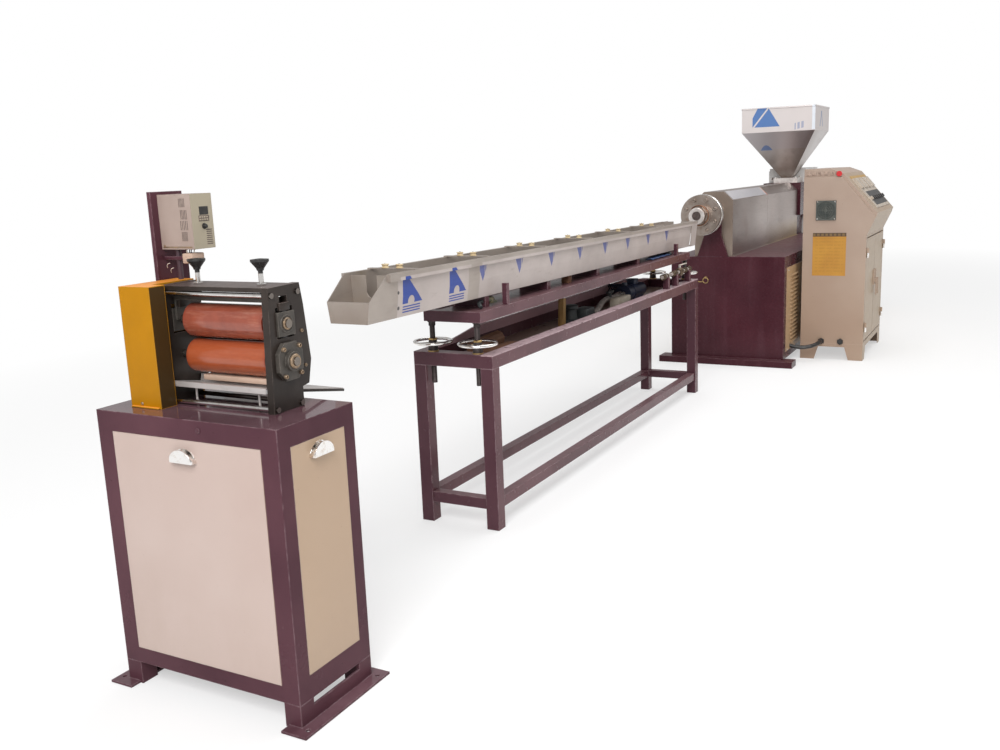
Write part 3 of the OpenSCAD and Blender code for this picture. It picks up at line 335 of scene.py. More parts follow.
def hoop(centre, way, radius, thick, around=36, across=12, squeeze=1.0):
    """A round bar bent to a ring, squeezed flat where it is a collar."""
    clear()
    bpy.ops.mesh.primitive_torus_add(major_radius=radius, minor_radius=thick, major_segments=around,
        minor_segments=across)
    edit()
    bpy.ops.transform.resize(value=(1, 1, squeeze), center_override=(0, 0, 0))
    piece = close()
    piece.matrix_world = Matrix.Translation(centre) @ Vector(way).to_track_quat("Z",
        "Y").to_matrix().to_4x4()
    return piece


def bent(points, radius, soft=4):
    """A rod or tube along points, smooth between them."""
    clear()
    line = bpy.data.curves.new("line", "CURVE")
    line.dimensions = "3D"
    line.bevel_depth, line.bevel_resolution, line.resolution_u, line.use_fill_caps = radius, 3, soft, True
    run = line.splines.new("BEZIER")
    run.bezier_points.add(len(points) - 1)
    for knot, place in zip(run.bezier_points, points):
        knot.co, knot.handle_left_type, knot.handle_right_type = place, "AUTO", "AUTO"
    piece = bpy.data.objects.new("line", line)
    bpy.context.scene.collection.objects.link(piece)
    piece.select_set(True)
    bpy.context.view_layer.objects.active = piece
    bpy.ops.object.convert(target="MESH")
    return bpy.context.object


def mottled(name, first, second, patches, sheen, fine=None, **fixed):
    """A finish of two tones in soft patches: their scale, detail and limits,
    then scale, detail, spread and least of the roughness, and of the relief."""
    made = Finish(name, **fixed)
    scale, detail, low, high = patches
    made.set(Base_Color=made.mix(made.cloud(scale, detail).fade(low, high), first, second))
    scale, detail, spread, least = sheen
    made.set(Roughness=made.cloud(scale, detail) * spread + least)
    if fine:
        made.relief(made.cloud(*fine[:2]), *fine[2:])
    return made


plum = Finish("plum_enamel", roughness=0.3, Coat_Weight=0.04, Coat_Roughness=0.1, Specular_IOR_Level=0.16)
tone = plum.mix(plum.cloud(3.5, 4).fade(0.3, 0.7), (0.046, 0.010, 0.016), (0.072, 0.018, 0.026))
dust = plum.facing(2).fade(0.5, 0.95) * plum.cloud(11, 5, 0.6).fade(0.2, 0.7) * 0.6
tone = plum.mix(dust, tone, (0.22, 0.12, 0.13))
runs = plum.cloud(14, 4, 0.6, (1, 1, 0.12)).fade(0.52, 0.8) * (1.0 - dust) * 0.25
tone = plum.mix(runs, tone, (0.13, 0.06, 0.075))
wear_and_highlight = plum.edge(0.006) * plum.cloud(26, 4, 0.6).fade(0.36, 0.6) * 0.6
chips = plum.cloud(95, 2, 0.7).fade(0.71, 0.74) * plum.cloud(5, 2).fade(0.5, 0.65) * 0.7
tone = plum.mix(chips, tone, (0.028, 0.012, 0.012))
plum.set(Base_Color=plum.mix(wear_and_highlight, tone, (0.34, 0.21, 0.24)),
    Roughness=(plum.cloud(40, 3) * 0.2 + 0.16) + dust * 0.3)
plum.relief(plum.cloud(160, 2) + plum.cloud(14, 2) * 0.6, 0.14, 0.0008, 0.004)
dress(plum, "base_skids", "extruder_base", "barrel_support", "feed_housing")

old_brass = mottled("dull_brass", (0.62, 0.43, 0.18), (0.42, 0.29, 0.15), (60, 4, 0.35, 0.7),
    (90, 3, 0.3, 0.22), (300, 2, 0.1, 0.0004, 0.001), Metallic=1.0)
base_low, base_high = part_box("extruder_base")
front = base_low.x
latch_y, latch_z = 0.044, 0.566
latch = turned((front, latch_y, latch_z), (-1, 0, 0), 0.008,
    ((0.002, 0.008), (0.003, 0.0065), (0.009, 0.005)))
fit(latch, "latch_boss", old_brass)
fit(hoop((front - 0.006, latch_y, latch_z - 0.018), (-1, 0.1, 0), 0.018, 0.0032), "latch_ring", old_brass)
fit(bent([(front - out, latch_y + aside, latch_z - drop)
    for out, aside, drop in ((0.006, 0.016, 0.025), (0.007, 0.032, 0.028), (0.007, 0.048, 0.026),
    (0.004, 0.062, 0.021))], 0.0036), "latch_pin", old_brass)

# Weld beads where the box sits on its cross bars: short runs of steel under
# the same enamel.
bead_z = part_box("base_skids")[1].z
for number, (x, way) in enumerate(((front - 0.001, -1), (base_high.x + 0.001, 1))):
    bead = block((x - 0.003, base_low.y + 0.01, bead_z - 0.002),
        (x + 0.003, base_high.y - 0.01, bead_z + 0.004), 0.0025, 3)
    fit(bead, "base_weld_%d" % number, plum)

# ---------------------------------------------------------------------------
# Side panels: pressed steel sheets with rows of louvres, in a satin cream
# enamel that greys towards the floor. Round-head screws hold them.
cream = Finish("cream_enamel", roughness=0.38, Specular_IOR_Level=0.4)
tone = cream.mix(cream.cloud(2.2, 3).fade(0.3, 0.7), (0.44, 0.335, 0.295), (0.50, 0.40, 0.36))
low_down = 1.0 - cream.axis(2).fade(0.05, 0.45)
grime = low_down * cream.cloud(7, 5, 0.65, (1, 1, 0.35)).fade(0.35, 0.7) * 0.35
# Faces turned to -Y toned warm yellow, and the base panels (x > -3) more yellow still: painted warm light.
tone = cream.mix((0.0 - cream.facing(1)).fade(0.5, 0.9) * 0.8, tone, (0.43, 0.30, 0.19))
tone = cream.mix((cream.axis(0) > -3.0) * 0.85, tone, (0.50, 0.33, 0.17))
tone = cream.mix(grime, tone, (0.36, 0.27, 0.21))
specks = cream.cloud(120, 2, 0.6).fade(0.72, 0.76) * 0.4
tone = cream.mix(specks, tone, (0.30, 0.22, 0.17))
# Darker along the edges: painted shade in the gaps round the panels.
cream.set(Base_Color=cream.mix(cream.edge(0.004) * 0.5, tone, (0.30, 0.21, 0.17)),
    Roughness=cream.cloud(30, 3) * 0.2 + 0.28)
cream.relief(cream.cloud(120, 2) + cream.cloud(3, 1) * 4.0, 0.08, 0.0006, 0.002)
dress(cream, "base_panels")

bright = mottled("bright_screws", (0.80, 0.78, 0.75), (0.44, 0.39, 0.34), (90, 3, 0.4, 0.7),
    (140, 2, 0.25, 0.15), Metallic=1.0)
panel_low, panel_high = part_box("base_panels")
panels, panel_gap, screw_in = 3, 0.062, 0.016
panel_step = (panel_high.x - panel_low.x + panel_gap) / panels
spots = [(panel_low.x + panel * panel_step + x, z) for panel in range(panels)
    for x in (screw_in, (panel_step - panel_gap) / 2, panel_step - panel_gap - screw_in)
    for z in (panel_low.z + screw_in, panel_high.z - screw_in)]
repeat(turned((0, 0, 0), (0, -1, 0), 0.0055, ((0.0012, 0.0055), (0.003, 0.0035), (0.0031, 0.0012),
    (0.0018, 0.001)), 16), "panel_screw", both_sides(panel_low.y, panel_high.y, spots), bright)

# ---------------------------------------------------------------------------
# Barrel and die: bored steel, browned by the heat. The head is two flanges
# held by cap screws, with a turned cap and a copper ring round the nozzle.
heat = Finish("heated_steel", roughness=0.34, Metallic=1.0)
tone = heat.mix(heat.cloud(9, 5, 0.6).fade(0.3, 0.72), (0.30, 0.245, 0.21), (0.46, 0.395, 0.35))
heat.set(Base_Color=heat.mix(heat.cloud(34, 5, 0.7).fade(0.5, 0.75) * 0.6, tone, (0.20, 0.12, 0.08)),
    Roughness=heat.cloud(50, 3) * 0.3 + 0.22)
heat.relief(heat.cloud(260, 2, stretch=(1, 0.08, 0.08)), 0.1, 0.0004, 0.0015)
dress(heat, "barrel", "die_head")

die_low, die_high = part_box("die_head")
line_z = (die_low.z + die_high.z) / 2
flange_depth, bolt_circle = 0.080, 0.099
face = die_high.x - flange_depth
copper = mottled("copper_ring", (0.34, 0.17, 0.10), (0.15, 0.08, 0.055), (60, 4, 0.35, 0.7),
    (80, 3, 0.3, 0.25), Metallic=0.9)
pale_steel = mottled("pale_steel", (0.76, 0.71, 0.68), (0.54, 0.49, 0.46), (30, 4, 0.35, 0.7),
    (70, 3, 0.3, 0.25), (420, 2, 0.1, 0.0003, 0.001), Metallic=0.75)


def around_axis(count, radius, first=0.0):
    """Places evenly round a circle across the machine's axis, as Y and Z."""
    angles = [math.radians(first + 360 / count * number) for number in range(count)]
    return [(radius * math.cos(angle), radius * math.sin(angle)) for angle in angles]


repeat(turned((0, 0, 0), (-1, 0, 0), 0.011, ((0.010, 0.011), (0.012, 0.0095), (0.0121, 0.0055),
    (0.005, 0.005)), 24), "die_bolt", [(face, y, line_z + z) for y, z in around_axis(8, bolt_circle, 22.5)],
    heat)
fit(hoop((face - 0.032, 0, line_z), (-1, 0, 0), 0.061, 0.004), "nozzle_band", copper)
cap = turned((die_low.x + 0.001, 0, line_z), (-1, 0, 0), 0.050,
    ((0.006, 0.050), (0.009, 0.047), (0.0091, 0.0280), (0.001, 0.0278)), 40)
fit(cap, "nozzle_cap", pale_steel)
# A dark disc at the nozzle: painted shade of the bore.
bore_shade = mottled("bore_shade_paint", (0.045, 0.030, 0.026), (0.11, 0.075, 0.065), (80, 3, 0.4, 0.7),
    (60, 3, 0.3, 0.4))
fit(turned((die_low.x - 0.001, 0, line_z), (-1, 0, 0), 0.0270, ((0.0014, 0.0270), (0.0018, 0.024)), 32),
    "bore_shade_disc", bore_shade)
fit(turned((face + 0.040, 0, line_z), (1, 0, 0), 0.125, ((0.001, 0.1275), (0.026, 0.1275), (0.027, 0.125)),
    64), "flange_band", bright)

# A mica heater band with its clamp and terminal cap, on the bare length of
# barrel between the head and the support.
mica = mottled("heater_band", (0.42, 0.36, 0.30), (0.26, 0.20, 0.16), (25, 4, 0.35, 0.7), (60, 3, 0.3, 0.3),
    (200, 2, 0.15, 0.0005, 0.001), Metallic=0.8)
band_x = die_high.x + 0.05
fit(turned((band_x, 0, line_z), (1, 0, 0), 0.0605, ((0.0, 0.064), (0.001, 0.066), (0.099, 0.066),
    (0.1, 0.064), (0.1, 0.0605)), 48), "heater_band", mica)
fit(block((band_x + 0.03, -0.012, line_z + 0.064), (band_x + 0.07, 0.012, line_z + 0.088), 0.003),
    "heater_terminal", pale_steel)
for number, x in enumerate((band_x + 0.016, band_x + 0.084)):
    fit(turned((x, -0.014, line_z - 0.0715), (0, 1, 0), 0.0045,
        ((0.028, 0.0045), (0.0281, 0.007), (0.033, 0.007)), 6), "band_bolt_%d" % number, bright)

# ---------------------------------------------------------------------------
# Barrel covers: folded stainless sheet in two lengths with a fine grain, held
# by rivets along the foot. Torn protective film is left on the near bevel,
# and the end that faces the die is dull with heat.
cover_low, cover_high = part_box("barrel_covers")


def stainless(name, light, dark, stretch=(0.03, 0.03, 1.0)):
    """Rolled sheet with a fine grain, softly uneven, and smears that dull it."""
    made = Finish(name, roughness=0.3, Metallic=1.0)
    made.tone = made.mix(made.cloud(3, 4, 0.6).fade(0.3, 0.7), dark, light)
    made.tone = made.mix(made.cloud(18, 5, 0.7, (0.3, 1, 1)).fade(0.55, 0.8) * 0.4, made.tone,
        [0.6 * part for part in dark])
    grain = made.cloud(420, 2, 0.6, stretch)
    made.set(Base_Color=made.tone, Roughness=grain * 0.2 + made.cloud(6, 4, 0.65) * 0.28 + 0.14)
    made.relief(grain + made.cloud(2.5, 1) * 3.0, 0.06, 0.0006, 0.0015)
    return made


jacket = stainless("cover_sheet", (0.49, 0.42, 0.39), (0.33, 0.275, 0.25))
film_left = jacket.axis(0).within(-1.40, -0.50) * (jacket.axis(2) > line_z + 0.082) * \
    jacket.facing(1).fade(-0.3, -0.4) * jacket.cloud(9, 3, 0.6, (0.5, 1, 1)).fade(0.30, 0.36)
front_end = (0.0 - jacket.facing(0)).fade(0.8, 0.9) * (jacket.axis(0) < cover_low.x + 0.01)
# Yellow low on the covers towards the feed end: painted amber reflection.
painted_amber_reflection = (1.0 - jacket.axis(2).fade(0.70, 0.86)) * jacket.axis(0).fade(-0.7, 0.4) * 0.7
tone = jacket.mix(painted_amber_reflection, jacket.tone, (0.60, 0.45, 0.22))
tone = jacket.mix(film_left, tone, (0.66, 0.65, 0.68))
jacket.set(Base_Color=jacket.mix(front_end * 0.8, tone, (0.26, 0.20, 0.155)),
    Metallic=1.0 - front_end * 0.5 - film_left * 0.4)
dress(jacket, "barrel_covers")
first_length = 0.9335
seam_x = cover_low.x + first_length
spots = [(x, z) for x in (cover_low.x + 0.03, cover_low.x + 0.47, seam_x - 0.03, seam_x + 0.03,
    seam_x + 0.51, cover_high.x - 0.03) for z in (cover_low.z + 0.02, line_z + 0.05)]
repeat(turned((0, 0, 0), (0, -1, 0), 0.004, ((0.0006, 0.004), (0.0018, 0.0028), (0.0022, 0.001)), 16),
    "cover_rivet", both_sides(cover_low.y, cover_high.y, spots), bright)
# A strip over the seam between the two cover lengths, coloured as a painted orange glare that pales towards
# the far side.
seam_glare = Finish("seam_glare_paint", (0.8, 0.42, 0.3), 0.4)
seam_glare.set(Base_Color=seam_glare.mix(seam_glare.axis(1).fade(-0.11, -0.08), (0.74, 0.30, 0.20), (0.86, 0.66, 0.56)),
    Roughness=seam_glare.cloud(60, 3) * 0.2 + 0.3)
strip = block((seam_x - 0.009, -0.040, -0.0004), (seam_x + 0.005, 0.040, 0.0006), 0.0004, 1)
bevel_place = Matrix.Translation((0, -0.095, cover_high.z - 0.028))
strip.matrix_world = bevel_place @ Matrix.Rotation(math.atan2(0.056, 0.060), 4, "X")
fit(strip, "cover_seam_glare", seam_glare)
lip = block((cover_low.x, cover_low.y - 0.012, cover_low.z),
    (cover_high.x, cover_low.y, cover_low.z + 0.002), 0.0005, 1)
fit(lip, "cover_lip_near", jacket)
another(lip, "cover_lip_far", (0, cover_high.y - cover_low.y + 0.012, 0), jacket)

# ---------------------------------------------------------------------------
# Feed section: painted housing, pale gearbox behind it, the gate with its
# slide, and the hopper of welded stainless sheet with a rolled rim.
zinc = Finish("gearbox_grey", roughness=0.4)
tone = zinc.mix(zinc.cloud(4, 4).fade(0.3, 0.7), (0.62, 0.60, 0.58), (0.72, 0.70, 0.68))
zinc.set(Base_Color=zinc.mix(zinc.edge(0.004) * 0.5, tone, (0.35, 0.32, 0.30)),
    Roughness=zinc.cloud(40, 3) * 0.2 + 0.3)
zinc.relief(zinc.cloud(150, 3), 0.2, 0.0008, 0.003)
dress(zinc, "gearbox")
gear_low, gear_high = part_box("gearbox")
gear_x = (gear_low.x + gear_high.x) / 2
fit(turned((gear_x, 0, gear_high.z), (0, 0, 1), 0.022, ((0.004, 0.022), (0.006, 0.014), (0.022, 0.014),
    (0.026, 0.009)), 24), "gearbox_breather", old_brass)
sight = turned((gear_x, gear_low.y, line_z - 0.09), (0, -1, 0), 0.024,
    ((0.006, 0.024), (0.008, 0.021), (0.0081, 0.015), (0.004, 0.0145)), 28)
fit(sight, "oil_sight", old_brass)
cover_disc = turned((gear_high.x, 0, line_z), (1, 0, 0), 0.10,
    ((0.010, 0.10), (0.014, 0.095), (0.014, 0.06), (0.022, 0.055), (0.024, 0.03)), 48)
fit(cover_disc, "gearbox_end_cap", zinc)
repeat(turned((gear_high.x + 0.013, 0, line_z), (1, 0, 0), 0.0075, ((0.005, 0.0075), (0.0062, 0.0062)), 6),
    "cap_bolt", [(0, y, z) for y, z in around_axis(6, 0.082)], bright)

hopper_low, hopper_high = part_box("hopper")
band_z = hopper_high.z - 0.188
bin_sheet = stainless("hopper_sheet", (0.58, 0.55, 0.54), (0.38, 0.34, 0.32), (1, 1, 0.03))
# Film on the outer faces of the band, with a sail cut by a slant on the
# front, strokes beside it, an open wedge on the side and a cap on the cone.
print_left, print_foot, cone_print_y = 0.221, 1.566, 0.107
print_y = print_left - bin_sheet.axis(1)
print_z = bin_sheet.axis(2) - print_foot
hopper_x = (hopper_low.x + hopper_high.x) / 2
on_front = (0.0 - bin_sheet.facing(0)).fade(0.6, 0.7) * (bin_sheet.axis(0) < hopper_x)
on_side = (0.0 - bin_sheet.facing(1)).fade(0.6, 0.7) * (bin_sheet.axis(1) < 0.0)
film = ((bin_sheet.axis(2) > band_z) * (on_front + on_side)).fade(0, 1)
glare = bin_sheet.axis(1).within(-0.286, -0.262) * on_front * (bin_sheet.axis(2) > band_z + 0.004)
shape = print_z.within(0.0, 0.145) * (print_y > 0.02) * ((print_y - 0.235) + print_z * 0.62 < 0.0) * \
    ((print_y + 0.02) - print_z * 0.55 > 0.0)
shape = shape * (1.0 - (print_y - print_z * 0.8).within(0.02, 0.035)) * on_front
marks = (print_z - (print_y - 0.36) * 0.2).within(-0.03, 0.02) * print_y.within(0.35, 0.43) * on_front * \
    ((print_y % 0.03) > 0.012)
side_u = bin_sheet.axis(0) - 0.53
side_mark = on_side * print_z.within(-0.01, 0.11) * ((side_u - print_z * 0.5).within(0.0, 0.03)
    + (side_u + print_z * 0.5).within(0.10, 0.13))
cone_u = bin_sheet.axis(1) - cone_print_y
cone_mark = on_front * bin_sheet.axis(1).within(0.055, 0.16) * bin_sheet.axis(2).within(1.385, 1.425) * \
    ((cone_u * cone_u * 18.0 + bin_sheet.axis(2)) < 1.425)
rust = (1.0 - bin_sheet.axis(2).fade(1.16, 1.38)) * bin_sheet.cloud(9, 4, 0.6).fade(0.2, 0.7) * 0.75
tone = bin_sheet.mix(rust, bin_sheet.tone, (0.22, 0.15, 0.10))
cone_film = on_front * bin_sheet.axis(2).within(1.392, band_z) * bin_sheet.cloud(7, 3).fade(0.3, 0.36) * 0.7
tone = bin_sheet.mix(cone_film, tone, (0.50, 0.47, 0.49))
tone = bin_sheet.mix(film * 0.92, tone, (0.75, 0.69, 0.675))
tone = bin_sheet.mix(glare, tone, (0.80, 0.84, 0.90))
ink_blue = (0.045, 0.17, 0.46)
tone = bin_sheet.mix((shape + cone_mark * 0.7).fade(0, 1) * 0.92, tone, ink_blue)
tone = bin_sheet.mix(((marks + side_mark) * 0.55).fade(0, 1), tone, (0.16, 0.24, 0.46))
bin_sheet.set(Base_Color=tone, Metallic=1.0 - (film * 0.75 + shape * 0.2).fade(0, 1))
dress(bin_sheet, "hopper")
rim = fit(block((hopper_low.x - 0.003, hopper_low.y - 0.003, hopper_high.z - 0.010),
    (hopper_high.x + 0.003, hopper_low.y + 0.005, hopper_high.z + 0.003), 0.003, 3), "hopper_rim_near",
    bin_sheet)
middle = Matrix.Translation((hopper_x, (hopper_low.y + hopper_high.y) / 2, 0))
for name, quarter in (("hopper_rim_right", 1), ("hopper_rim_far", 2), ("hopper_rim_left", 3)):
    another(rim, name, middle @ Matrix.Rotation(quarter * math.pi / 2, 4, "Z") @ middle.inverted(),
        bin_sheet)

dress(pale_steel, "hopper_gate")
gate_low, gate_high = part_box("hopper_gate")
repeat(turned((0, 0, hopper_low.z), (0, 0, 1), 0.009, ((0.006, 0.009), (0.008, 0.0075), (0.0081, 0.0045),
    (0.013, 0.0042)), 6), "gate_nut", [(x, y, 0) for x in (gate_low.x + 0.016, gate_high.x - 0.016)
    for y in (gate_low.y + 0.016, 0.055)], bright)

# ---------------------------------------------------------------------------
# Trough stand: square tube and a drip pan in the same plum enamel, worn on
# the rails, with painted highlight lines along the near top edges. On the pan lie the pump and its suction
# pipe, a leaning prop of raw wood, a wood block and chock, and two small castings.


def tint(red, green, blue):
    """A tone as a screen shows it, 0 to 255, as the amount of light."""
    return [((part / 255 + 0.055) / 1.055) ** 2.4 if part > 10 else part / 3294.6
        for part in (red, green, blue)]


def row(piece, count, step):
    """The piece again and again at even steps, as one mesh."""
    clear()
    piece.select_set(True)
    bpy.context.view_layer.objects.active = piece
    run = piece.modifiers.new("row", "ARRAY")
    run.count, run.use_relative_offset, run.use_constant_offset = count, False, True
    run.constant_offset_displace = step
    bpy.ops.object.modifier_apply(modifier="row")
    return piece


rail = Finish("rail_enamel", roughness=0.25, Coat_Weight=0.05, Coat_Roughness=0.08, Specular_IOR_Level=0.18)
tone = rail.mix(rail.cloud(4, 4).fade(0.3, 0.7), (0.088, 0.034, 0.042), (0.132, 0.058, 0.068))
dust = rail.facing(2).fade(0.5, 0.95) * rail.cloud(13, 5, 0.6).fade(0.15, 0.65) * 0.4
tone = rail.mix(dust, tone, (0.26, 0.16, 0.17))
tone = rail.mix(rail.cloud(9, 5, 0.65, (1, 1, 0.3)).fade(0.5, 0.78) * 0.35, tone, (0.055, 0.022, 0.026))
wear_and_highlight = rail.edge(0.005) * rail.cloud(30, 4, 0.6).fade(0.34, 0.58) * 0.75
# Painted highlight lines along the near top edges, faces turned to -X darker as painted shade, and the
# brown pan floor and the splash face painted pale as light where the lamps barely reach them.
lift_edge, rail_edge = 0.8085, 0.6555
rubbing_and_highlight = (abs(rail.axis(2) - lift_edge) < 0.0022) + (abs(rail.axis(2) - rail_edge) < 0.0028)
tone = rail.mix((0.0 - rail.facing(0)).fade(0.6, 0.9) * 0.6, tone, (0.045, 0.014, 0.024))
pan = (abs(rail.axis(1)) < 0.110) * rail.axis(2).within(0.600, 0.650) * rail.facing(2).fade(0.5, 0.9)
tone = rail.mix(pan * 0.85, tone, (0.30, 0.21, 0.165))
back = rail.axis(1).within(0.105, 0.1125) * rail.axis(2).within(0.655, 0.698)
tone = rail.mix(back * (0.0 - rail.facing(1)).fade(0.5, 0.9), tone, (0.50, 0.31, 0.34))
wear_and_highlight = (wear_and_highlight + rubbing_and_highlight * (rail.axis(1) < -0.12) * rail.cloud(40, 3).fade(0.3, 0.45) * 0.9).fade(0, 1)
rail.set(Base_Color=rail.mix(wear_and_highlight, tone, (0.46, 0.33, 0.35)),
    Roughness=(rail.cloud(40, 3) * 0.2 + 0.14) + dust * 0.3)
rail.relief(rail.cloud(160, 2) + rail.cloud(14, 2) * 0.6, 0.14, 0.0008, 0.003)
dress(rail, "stand_top_frame", "stand_legs", "stand_lower_frame", "sub_frame", "trough_supports")

# Splash plate along the back of the pan: the same enamel, its face painted pale as light, a pale lip of
# painted highlight that slopes down at both ends, and above it a dark plate and fold of painted shade.
splash_shade_and_highlight = Finish("splash_shade_and_highlight_paint", roughness=0.35, Specular_IOR_Level=0.3)
tone = splash_shade_and_highlight.mix(splash_shade_and_highlight.cloud(8, 4).fade(0.3, 0.7), (0.052, 0.026, 0.030), (0.085, 0.045, 0.050))
splash_shade_and_highlight.set(Base_Color=splash_shade_and_highlight.mix(splash_shade_and_highlight.axis(2).within(0.650, 0.699), tone,
    (0.80, 0.64, 0.66)), Roughness=splash_shade_and_highlight.cloud(40, 3) * 0.2 + 0.25)
splash_shade_and_highlight.relief(splash_shade_and_highlight.cloud(120, 2), 0.12, 0.0006, 0.002)
splash_from, splash_to, splash_y = -4.380, -2.675, 0.1130
fit(block((splash_from, splash_y, 0.700), (splash_to, splash_y + 0.0025, 0.734), 0.001), "splash_shade_plate",
    splash_shade_and_highlight)
fit(bent([(x, splash_y - 0.0015, z) for x, z in ((-4.695, 0.6575), (-4.50, 0.6810), (-4.385, 0.6948),
    (-4.20, 0.6958), (-2.86, 0.6958), (-2.67, 0.6948), (-2.56, 0.6810), (-2.358, 0.6575))], 0.0022),
    "splash_highlight_rod", splash_shade_and_highlight)
fit(block((splash_from, splash_y, 0.7305), (splash_to, splash_y + 0.015, 0.7345), 0.001), "splash_shade_fold",
    splash_shade_and_highlight)

wood = Finish("raw_wood", roughness=0.7)
ring = wood.cloud(22, 4, 0.6, (1, 1, 0.07), bend=1.5)
tone = wood.mix(ring.fade(0.35, 0.65), (0.30, 0.165, 0.055), (0.46, 0.29, 0.11))
wood.set(Base_Color=wood.mix(wood.cloud(40, 4, 0.7).fade(0.55, 0.8) * 0.5, tone, (0.17, 0.10, 0.05)),
    Roughness=wood.cloud(60, 3) * 0.2 + 0.6)
wood.relief(ring, 0.3, 0.001, 0.001)
brown_wood = Finish("brown_wood", roughness=0.7)
ring = brown_wood.cloud(25, 4, 0.6, (0.1, 1, 1), bend=1.2)
brown_wood.set(Base_Color=brown_wood.mix(ring.fade(0.35, 0.65), (0.13, 0.055, 0.03), (0.24, 0.115, 0.06)),
    Roughness=brown_wood.cloud(50, 3) * 0.2 + 0.6)
brown_wood.relief(ring, 0.35, 0.001, 0.001)
stand_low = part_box("stand_top_frame")[0]
lift_low, lift_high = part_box("sub_frame")
pan_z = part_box("water_pump")[0].z
prop = block((-0.015, -0.013, 0), (0.015, 0.013, lift_low.z - 0.034 - pan_z), 0.003)
prop.matrix_world = Matrix.Translation((-3.815, -0.007, pan_z)) @ Matrix.Rotation(math.radians(5), 4, "Y")
fit(prop, "wood_prop", wood)
fit(block((-4.62, -0.100, pan_z), (-4.38, -0.030, pan_z + 0.032), 0.003), "wood_block", brown_wood)
chock = turned((-4.56, 0.02, pan_z + 0.030), (1, 0, 0.04), 0.030,
    ((0.003, 0.033), (0.20, 0.031), (0.203, 0.026)), 9)
fit(chock, "wood_chock", brown_wood)
card = mottled("pale_card", tint(165, 156, 142), tint(134, 122, 108), (18, 4, 0.35, 0.7), (50, 3, 0.2, 0.5),
    (300, 2, 0.1, 0.0005, 0.001))
fit(block((-3.32, -0.085, pan_z), (-3.16, -0.035, pan_z + 0.062), 0.004), "pale_block", card)
slate = mottled("slate_casting", tint(44, 48, 50), tint(70, 74, 74), (26, 4, 0.35, 0.7), (50, 3, 0.3, 0.35),
    (200, 2, 0.3, 0.0008, 0.002))
fit(turned((-3.70, 0.0, pan_z), (0, 0, 1), 0.045, ((0.012, 0.045), (0.016, 0.030), (0.060, 0.026),
    (0.064, 0.034), (0.078, 0.034), (0.081, 0.028)), 28), "valve_pot", slate)
fit(block((-3.64, -0.055, pan_z), (-3.55, 0.01, pan_z + 0.055), 0.006, 3), "slate_box", slate)
hose_grey = mottled("grey_hose", tint(168, 158, 152), tint(122, 112, 106), (30, 4, 0.35, 0.7),
    (60, 3, 0.2, 0.35), (180, 2, 0.15, 0.0005, 0.001))
pump_low, pump_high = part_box("water_pump")
pipe_z = pan_z + 0.048
fit(bent(((pump_low.x + 0.002, 0, pipe_z), (pump_low.x - 0.12, 0, pipe_z),
    (pump_low.x - 0.27, -0.004, pipe_z), (pump_low.x - 0.38, -0.02, pan_z + 0.024),
    (pump_low.x - 0.45, -0.035, pan_z + 0.0145)), 0.0135), "suction_pipe", hose_grey)
fit(turned((pump_low.x - 0.03, 0, pipe_z), (-1, 0, 0), 0.021,
    ((0.012, 0.021), (0.0121, 0.017), (0.034, 0.017), (0.0341, 0.021), (0.046, 0.021)), 6), "pipe_union",
    bright)
fit(turned((pump_low.x - 0.20, -0.009, pipe_z + 0.010), (0, 0, 1), 0.008,
    ((0.020, 0.008), (0.021, 0.015), (0.026, 0.015)), 12), "pipe_valve_stem", slate)
fit(block((pump_low.x - 0.235, -0.018, pipe_z + 0.032), (pump_low.x - 0.165, -0.001, pipe_z + 0.040),
    0.003), "pipe_valve_lever", slate)

# Water pump: a small motor in blue enamel on a foot, with cooling fins and a
# terminal box, and the volute in front.
blue = mottled("pump_blue", (0.010, 0.016, 0.036), (0.024, 0.034, 0.075), (20, 4, 0.3, 0.7),
    (60, 3, 0.2, 0.3), (220, 2, 0.2, 0.0006, 0.002))
dress(blue, "water_pump")
motor_z = pan_z + 0.048
fit(row(hoop((pump_low.x + 0.075, 0, motor_z), (1, 0, 0), 0.0400, 0.0032, 40, 8, 0.5), 12, (0.0115, 0, 0)),
    "motor_fins", blue)
fit(block((pump_low.x + 0.105, -0.022, motor_z + 0.036), (pump_low.x + 0.165, 0.022, motor_z + 0.064),
    0.004, 3), "terminal_box", blue)
# Dark strips on the fan cover: painted shade in its slots.
fit(row(block((pump_high.x - 0.0005, -0.024, motor_z - 0.018),
    (pump_high.x + 0.0015, 0.024, motor_z - 0.015), 0.0006), 6, (0, 0, 0.0072)), "fan_cover_slot_shade", slate)

# Water feed at the rear of the stand: a galvanised pipe on the near rail
# with unions, a brass ball valve and its white lever.
rail_z = 0.657
feed_y, feed_z = stand_low.y + 0.022, rail_z + 0.068
fit(bent(((-2.86, feed_y, feed_z), (-2.60, feed_y, feed_z), (-2.398, feed_y, feed_z)), 0.0095, 2),
    "feed_pipe", hose_grey)
union = turned((0, feed_y, feed_z), (1, 0, 0), 0.0165, ((0.008, 0.0165), (0.0081, 0.0135), (0.022, 0.0135),
    (0.0221, 0.0165), (0.030, 0.0165)), 6)
fitting = mottled("pipe_fitting", tint(112, 94, 74), tint(66, 54, 46), (60, 4, 0.35, 0.7),
    (80, 3, 0.3, 0.25), (300, 2, 0.1, 0.0004, 0.001), Metallic=0.6)
repeat(union, "feed_union", [(x, 0, 0) for x in (-2.855, -2.70, -2.50, -2.428)], fitting)
fit(turned((-2.588, feed_y, feed_z), (1, 0, 0), 0.015, ((0.006, 0.021), (0.022, 0.024), (0.038, 0.021),
    (0.044, 0.015)), 20), "ball_valve", fitting)
fit(turned((-2.566, feed_y, feed_z + 0.020), (0, 0, 1), 0.006, ((0.012, 0.006), (0.014, 0.004)), 16),
    "valve_stem", bright)
